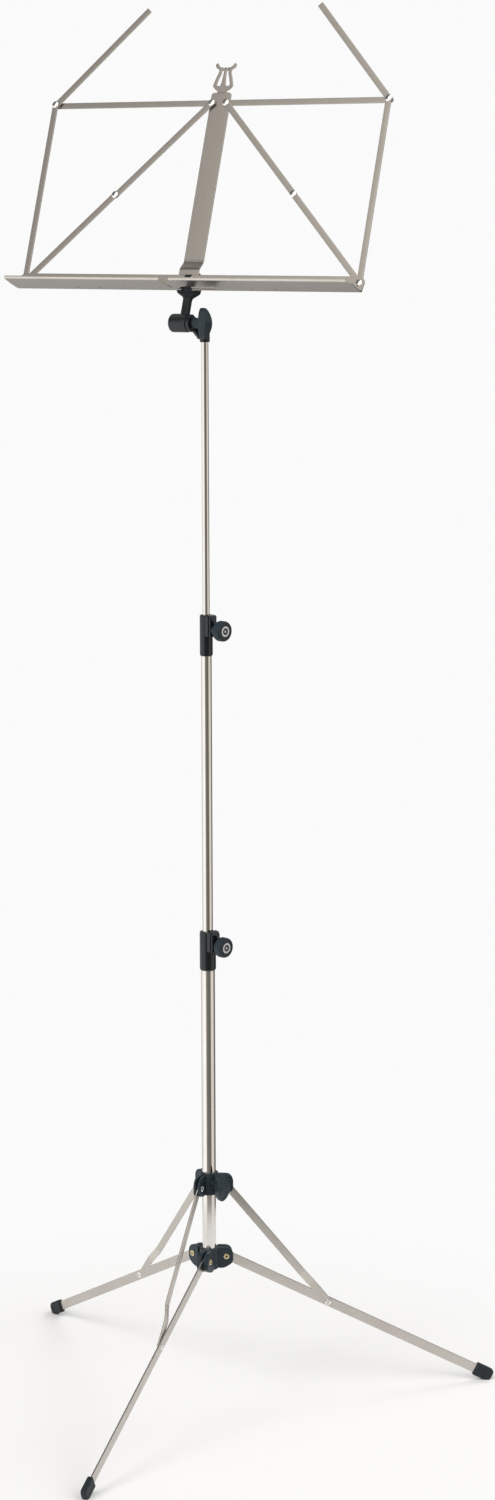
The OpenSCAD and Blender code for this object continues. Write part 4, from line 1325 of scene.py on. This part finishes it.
    def _rivets(self, shop: Workshop) -> None:
        """The two bottom and the two top rivets of the plate.

        Args:
            shop: Builds and places the pieces.
        """
        front = -3 * self.layer + self.bar_t + self.gap
        low = [self._rivet(s * self.half_gap, 0, -self.front - 3, self.sheet + self.gap,
                           back=False) for s in (-1, 1)]
        high = [self._rivet(s * self.half_gap, self.plate_link, self.blade, front) for s in (-1, 1)]
        shop.make("bottom_rivets", Look.BRIGHT, low)
        shop.make("top_rivets", Look.BRIGHT, high)

    def _half(self, shop: Workshop, side: int) -> None:
        """One half: ledge, side bar, top bar, two braces, page arm and their rivets.

        Args:
            shop: Builds and places the pieces.
            side: -1 for the left half, 1 for the right.
        """
        name = "left" if side < 0 else "right"
        f, high = self.frame, self.plate_link
        near, far = side * self.half_gap, side * (self.half_gap + self.link)
        span = math.hypot(self.link, high)
        lean = math.atan2(high, self.link)
        upper = (span + high - self.link) / 2
        knee = (side * (self.half_gap + upper * math.cos(lean)), high - upper * math.sin(lean))
        w, t, step = self.bar_w, self.bar_t, self.layer

        def flat(node: str, *line: float, level: int,
                 ends: tuple[End, End] = (End.ROUND, End.ROUND)) -> None:
            """Makes one bar of this half."""
            shop.make(f"{node}_{name}", Look.NICKEL, [bar(*line, w, -level * step, t, ends).placed(f)])

        flat("side_bar", far, 0, far, high, level=1)
        flat("top_bar", near, high, far, high, level=4)
        flat("brace_upper", near, high, *knee, level=3)
        flat("brace_lower", *knee, far, 0, level=2)
        a = math.radians(self.arm_angle)
        tip = (far - side * self.arm_len * math.cos(a), high + self.arm_len * math.sin(a))
        flat("page_arm", far, high, *tip, level=2, ends=(End.ROUND, End.SQUARE))
        shop.make(f"ledge_{name}_rivet", Look.BRIGHT,
                  [self._rivet(far, 0, -step, self.sheet, back=False)])
        shop.make(f"corner_rivet_{name}", Look.BRIGHT,
                  [self._rivet(far, high, -4 * step, -step + t + self.gap), self._collar(far, high)])
        shop.make(f"brace_{name}_rivet", Look.BRIGHT,
                  [self._rivet(*knee, -3 * step, -2 * step + t + self.gap)])
        shop.make(f"ledge_{name}", Look.NICKEL, [self._ledge(side)])

    def _collar(self, u: float, v: float) -> Shell:
        """The spacer ring between the layers at a corner.

        Args:
            u: Its place across the desk.
            v: Its place up the desk.

        Returns:
            The shell.
        """
        low, high = -4 * self.layer + self.bar_t, -2 * self.layer - self.gap
        ring = lathe([(2.2, low), (3.6, low), (3.9, low + 0.3), (3.9, high - 0.3), (3.6, high),
                      (2.2, high)], 40, closed=True)
        ring.points = ring.points + np.array([u, v, 0.0])
        return ring.placed(self.frame)

    def _ledge_section(self) -> tuple[np.ndarray, int]:
        """The section of a ledge's sheet: flange, fold, creased shelf and turned-up lip.

        Returns:
            Rows of (distance in front of the desk, height), and how many belong to the flange.
        """
        floor, bend, inner = -self.drop, self.ledge_bend, self.depth - self.sheet
        below_top = np.array([0, 0.12, 0.6, 1.6, 3.2, 5.4, 8.4, 12, 15])
        flange_v = np.r_[self.flange_top - below_top, floor + bend]
        rows = [(self.sheet, v) for v in flange_v]
        arc = np.radians(np.linspace(0, 90, self.fold_steps + 1))
        rows += [(self.sheet + bend * (1 - math.cos(x)), floor + bend * (1 - math.sin(x)))
                 for x in arc[1:]]
        crease = self.depth / 2
        slope = self.shelf_rise / (inner - crease)
        shelf_w = [5.5, 7.5, 10, 12.5, self.window_w - 0.1, self.window_w + 0.1, crease - 0.8, crease,
                   crease + 0.8, 24, 29, 34, self.depth - 2.6]
        rows += [(w, floor + max(0.0, w - crease) * slope) for w in shelf_w]
        lip = floor + self.shelf_rise
        rows += [(self.depth - 1.9, lip + 0.08), (self.depth - 1.35, lip + 0.5), (inner, lip + 1.1),
                 (inner, lip + self.lip_h)]
        return np.array(rows), len(flange_v)

    def _ledge_ends(self, path: np.ndarray, flange_rows: int, side: int) -> np.ndarray:
        """Where each row of a ledge starts, where its window would end, and where it ends.

        Args:
            path: The rows of the section.
            flange_rows: How many of them belong to the flange.
            side: -1 for the left ledge, 1 for the right.

        Returns:
            Three distances from the desk's middle for each row.
        """
        ends = []
        tall, round_r, far = self.flange_top, self.ledge_end_r, self.half_gap + self.link
        for i, (w, v) in enumerate(path):
            if i < flange_rows:
                start = self.half_gap - math.sqrt(max(tall**2 - min(abs(v), tall) ** 2, 0.0))
                if v > 0:
                    past = math.sqrt(max(round_r**2 - v**2, 0.0)) if v < round_r else 0.0
                else:
                    past = round_r - 1.8 * min(1.0, -v / (self.drop - self.ledge_bend))
                ends.append((start, 38.0, far + past))
                continue
            cut = max(0.0, w - (self.depth - (7 if side > 0 else 2)))
            past = far + 6 - cut**1.5 * 0.37
            if side > 0:
                start = self.half_gap
                if w >= self.window_w:
                    start = -13 + (min(w, self.depth) - self.window_w) * 0.37
                ends.append((start, 38 + min(w, self.window_w) * 0.727, past))
            else:
                start = 5 + 7.7 * min(1.0, max(0.0, w - 3) / 6) if w < 9 else 12.7 + (w - 9) * 0.203
                ends.append((start, 30.0, past))
        return np.array(ends)

    def _ledge(self, side: int) -> Shell:
        """A ledge as one bent sheet, with lanced slits and, on the right half, a window.

        Rows follow the sheet's section from the flange's top edge to the lip, and columns run
        outwards. Each row has its own inner and outer end, so that the ends are round at the
        rivets and slanted on the shelf; the window and the slits are cells left out.

        Args:
            side: -1 for the left ledge, 1 for the right.

        Returns:
            The shell.
        """
        path, flange_rows = self._ledge_section()
        count = len(path)
        inner, window, outer = self._ledge_ends(path, flange_rows, side).T
        shelf_from = flange_rows + self.fold_steps - 1
        first = inner[:, None] + (window - inner)[:, None] * np.linspace(0, 1, 9)
        slits = (98.0, 130.0) if side > 0 else (117.0, 149.0)
        slant = np.where(np.arange(count) >= shelf_from, np.clip(path[:, 0], 7.5, 12.5) - 10, 0.0) * 0.7
        columns = [np.full(count, u) for u in (60.0, 80.0)]
        for u in slits:
            columns += [u + slant - 0.65, u + slant + 0.65]
        columns += [np.full(count, u) for u in (165.0, 182.0, 198.0, 212.0, 224.0)]
        columns += [224 + (outer - 224) * x for x in (0.35, 0.6, 0.8, 0.92, 1.0)]
        across = np.concatenate([first, np.stack(columns, 1)], 1)
        grid = np.stack([across.T * side, np.broadcast_to(path[:, 1], across.T.shape),
                         np.broadcast_to(path[:, 0], across.T.shape)], -1)
        present = np.ones((grid.shape[0] - 1, count - 1), bool)
        on_shelf = np.arange(count - 1) >= shelf_from
        if side > 0:
            present[:8, on_shelf & (path[:-1, 0] < self.window_w)] = False
        slit_rows = on_shelf & (path[:-1, 0] > 7) & (path[:-1, 0] < 12.4)
        present[11, slit_rows] = present[13, slit_rows] = False
        if side < 0:
            grid = grid[::-1]
            present = present[::-1]
        return thick_sheet(grid, present, self.sheet).placed(self.frame)


# ---------------------------------------------------------------- studio

# Brightness round the stand, from behind it over its left, front and right side to behind it.
LOW_STUDIO = (
    (0.0, 0.40, 0.39, 0.39), (0.10, 0.70, 0.70, 0.69), (0.30, 1.35, 1.35, 1.34),
    (0.385, 1.30, 1.29, 1.26), (0.425, 0.28, 0.27, 0.25), (0.50, 0.20, 0.195, 0.17),
    (0.61, 0.16, 0.15, 0.13), (0.645, 0.92, 0.86, 0.80), (0.76, 0.90, 0.84, 0.79),
    (0.80, 0.16, 0.155, 0.15), (0.93, 0.22, 0.22, 0.22), (1.0, 0.40, 0.39, 0.39),
)
HIGH_STUDIO = (
    (0.0, 0.50, 0.50, 0.50), (0.20, 0.12, 0.12, 0.115), (0.30, 0.20, 0.195, 0.185),
    (0.33, 0.46, 0.45, 0.43), (0.36, 1.55, 1.49, 1.44), (0.45, 1.60, 1.54, 1.49),
    (0.55, 0.50, 0.50, 0.49), (0.75, 0.75, 0.75, 0.76), (1.0, 0.50, 0.50, 0.50),
)


@dataclass(frozen=True)
class Studio:
    """Floor, light and the fixed camera."""

    eye: tuple[float, float, float] = (1.85664, -3.41339, 1.54510)
    yaw: float = 27.78
    pitch: float = 9.99
    roll: float = -0.157
    lens: float = 74.404
    white: float = 0.96
    floor_r: float = 0.76

    def build(self) -> None:
        """Sets up the whole studio."""
        bpy.context.scene.view_settings.view_transform = "Standard"
        self._floor()
        self._world()
        self._lamp("key", (-1.6, -2.6, 3.6), (0, 0, 0.9), 2.2, 60)
        self._lamp("fill", (3.4, -1.0, 2.4), (0, 0, 0.8), 2.2, 34)
        self._lamp("back", (0.8, 3.0, 2.8), (0, 0, 1.0), 1.8, 34)
        self._camera()

    def _floor(self) -> None:
        """A round pale floor, z = 0, that fades into the backdrop's white towards its rim."""
        shell = loft(np.stack([np.column_stack([disc(r * 1000, 96), np.zeros(96)])
                               for r in (0.02, 0.4, self.floor_r)]))
        mesh = bpy.data.meshes.new("floor")
        mesh.from_pydata((shell.points * MM).tolist(), [], shell.quads.tolist() + [shell.caps[0][::-1]])
        material = bpy.data.materials.new("floor_paper")
        material.use_nodes = True
        tree = material.node_tree
        paper = tree.nodes["Principled BSDF"]
        paper.inputs["Base Color"].default_value = (0.92, 0.92, 0.92, 1)
        paper.inputs["Roughness"].default_value = 0.9
        paper.inputs["Specular IOR Level"].default_value = 0.0
        glow = tree.nodes.new("ShaderNodeEmission")
        glow.inputs["Color"].default_value = (self.white, self.white, self.white, 1)
        place = tree.nodes.new("ShaderNodeTexCoord")
        length = tree.nodes.new("ShaderNodeVectorMath")
        length.operation = "LENGTH"
        fade = tree.nodes.new("ShaderNodeMapRange")
        fade.interpolation_type = "SMOOTHSTEP"
        fade.inputs["From Min"].default_value = 0.36
        fade.inputs["From Max"].default_value = self.floor_r - 0.04
        mix = tree.nodes.new("ShaderNodeMixShader")
        tree.links.new(place.outputs["Object"], length.inputs[0])
        tree.links.new(length.outputs["Value"], fade.inputs["Value"])
        tree.links.new(fade.outputs["Result"], mix.inputs["Fac"])
        tree.links.new(paper.outputs["BSDF"], mix.inputs[1])
        tree.links.new(glow.outputs["Emission"], mix.inputs[2])
        tree.links.new(mix.outputs["Shader"], tree.nodes["Material Output"].inputs["Surface"])
        mesh.materials.append(material)
        floor = bpy.data.objects.new("floor", mesh)
        bpy.context.scene.collection.objects.link(floor)

    @staticmethod
    def _ramp(tree: bpy.types.NodeTree, value: bpy.types.NodeSocket,
              stops: Sequence[tuple[float, float, float, float]]) -> bpy.types.NodeSocket:
        """A colour ramp over a value, with stops of position, red, green and blue.

        Args:
            tree: The world's nodes.
            value: Where on the ramp to read.
            stops: Position, red, green and blue of each stop.

        Returns:
            The colour.
        """
        node = tree.nodes.new("ShaderNodeValToRGB")
        while len(node.color_ramp.elements) < len(stops):
            node.color_ramp.elements.new(0.5)
        for element, (at, *colour) in zip(node.color_ramp.elements, stops):
            element.position = at
            element.color = (*colour, 1)
        tree.links.new(value, node.inputs["Fac"])
        return node.outputs["Color"]

    def _world(self) -> None:
        """A white backdrop, and a studio of tall soft boxes that the metal mirrors.

        The turn round the pole is atan2(right, front), measured from the front of the stand, as a
        share of a full turn; the height is the sine of the angle above level.
        """
        world = bpy.data.worlds.new("studio")
        bpy.context.scene.world = world
        world.use_nodes = True
        tree = world.node_tree
        tree.nodes.clear()
        place = tree.nodes.new("ShaderNodeTexCoord")
        yaw = math.radians(self.yaw)
        parts = []
        for axis in ((math.cos(yaw), math.sin(yaw), 0), (math.sin(yaw), -math.cos(yaw), 0), (0, 0, 1)):
            dot = tree.nodes.new("ShaderNodeVectorMath")
            dot.operation = "DOT_PRODUCT"
            dot.inputs[1].default_value = axis
            tree.links.new(place.outputs["Generated"], dot.inputs[0])
            parts.append(dot.outputs["Value"])
        turn = tree.nodes.new("ShaderNodeMath")
        turn.operation = "ARCTAN2"
        tree.links.new(parts[0], turn.inputs[0])
        tree.links.new(parts[1], turn.inputs[1])
        share = tree.nodes.new("ShaderNodeMapRange")
        share.inputs["From Min"].default_value = -math.pi
        share.inputs["From Max"].default_value = math.pi
        tree.links.new(turn.outputs["Value"], share.inputs["Value"])
        low = self._ramp(tree, share.outputs["Result"], LOW_STUDIO)
        high = self._ramp(tree, share.outputs["Result"], HIGH_STUDIO)
        rise = tree.nodes.new("ShaderNodeMapRange")
        rise.interpolation_type = "SMOOTHSTEP"
        rise.inputs["From Min"].default_value = 0.08
        rise.inputs["From Max"].default_value = 0.34
        tree.links.new(parts[2], rise.inputs["Value"])
        room = tree.nodes.new("ShaderNodeMix")
        room.data_type = "RGBA"
        tree.links.new(rise.outputs["Result"], room.inputs["Factor"])
        tree.links.new(low, room.inputs["A"])
        tree.links.new(high, room.inputs["B"])
        lit = tree.nodes.new("ShaderNodeBackground")
        tree.links.new(room.outputs["Result"], lit.inputs["Color"])
        plain = tree.nodes.new("ShaderNodeBackground")
        plain.inputs["Color"].default_value = (self.white, self.white, self.white, 1)
        path = tree.nodes.new("ShaderNodeLightPath")
        mix = tree.nodes.new("ShaderNodeMixShader")
        out = tree.nodes.new("ShaderNodeOutputWorld")
        tree.links.new(path.outputs["Is Camera Ray"], mix.inputs["Fac"])
        tree.links.new(lit.outputs["Background"], mix.inputs[1])
        tree.links.new(plain.outputs["Background"], mix.inputs[2])
        tree.links.new(mix.outputs["Shader"], out.inputs["Surface"])

    @staticmethod
    def _lamp(name: str, place: tuple[float, float, float], target: tuple[float, float, float],
              size: float, power: float) -> None:
        """A square lamp that lights but isn't mirrored.

        Args:
            name: Its name.
            place: Where it is, in metres.
            target: Where it points, in metres.
            size: Length of its side, in metres.
            power: Its power in watts.
        """
        data = bpy.data.lights.new(name, "AREA")
        data.shape = "SQUARE"
        data.size = size
        data.energy = power
        lamp = bpy.data.objects.new(name, data)
        lamp.location = place
        lamp.visible_glossy = False
        lamp.rotation_euler = (Vector(target) - Vector(place)).to_track_quat("-Z", "Y").to_euler()
        bpy.context.scene.collection.objects.link(lamp)

    def _camera(self) -> None:
        """Looks along yaw from +Y towards -X and down by pitch, then rolls about the view axis."""
        yaw, pitch = math.radians(self.yaw), math.radians(self.pitch)
        ahead = Vector((-math.sin(yaw) * math.cos(pitch), math.cos(yaw) * math.cos(pitch),
                        -math.sin(pitch)))
        right = Vector((math.cos(yaw), math.sin(yaw), 0))
        up = right.cross(ahead)
        turned = right * math.cos(math.radians(self.roll)) + up * math.sin(math.radians(self.roll))
        up = turned.cross(ahead)
        data = bpy.data.cameras.new("camera")
        data.lens = self.lens
        data.sensor_width = 36.0
        data.clip_start, data.clip_end = 0.1, 200.0
        camera = bpy.data.objects.new("camera", data)
        basis = Matrix((turned, up, -ahead)).transposed().to_4x4()
        camera.matrix_world = Matrix.Translation(Vector(self.eye)) @ basis
        bpy.context.scene.collection.objects.link(camera)
        bpy.context.scene.camera = camera


class MusicStand:
    """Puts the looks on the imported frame."""

    HIDDEN_PARTS = {
        "middle_bush": Look.PLASTIC,
        "rod_bush": Look.PLASTIC,
        "lower_clamp_nut": Look.BRASS,
        "upper_clamp_nut": Look.BRASS,
        "tilt_nut": Look.BRASS,
        "lower_knob_screw": Look.BRIGHT,
        "upper_knob_screw": Look.BRIGHT,
        "spider_knob_screw": Look.BRIGHT,
        "tilt_screw": Look.BRIGHT,
    }

    def __init__(self, frame: dict) -> None:
        """Reads which body each CAD node is on.
        """
        bodies = frame["record"]["behaviour"]["bodies"]
        body_of = {node: body for body, nodes in bodies.items() for node in nodes}
        self.frame = frame
        self.shop = Workshop(Finishes(), body_of)

    def build(self) -> None:
        """Makes every piece and checks that no CAD node is left without a finish."""
        Pole().build(self.shop)
        Clamp("lower", 573.6, 9.0, 6.75, 7.0, 4.0).build(self.shop)
        Clamp("upper", 982.0, 6.75, 4.5, 6.0, 1.0).build(self.shop)
        Tripod().build(self.shop)
        Desk().build(self.shop)
        for node, look in self.HIDDEN_PARTS.items():
            self.shop.paint(node, self.frame["nodes"][node], look)
        bare = [n for n, o in self.frame["nodes"].items()
                if not o.hide_render and n not in self.HIDDEN_PARTS]
        if bare:
            LOG.warning("no finish for %s", bare)


def main() -> None:
    """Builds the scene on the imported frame."""
    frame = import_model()
    MusicStand(frame).build()
    Studio().build()
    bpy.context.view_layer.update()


if __name__ == "__main__":
    logging.basicConfig(level=logging.INFO)
    main()
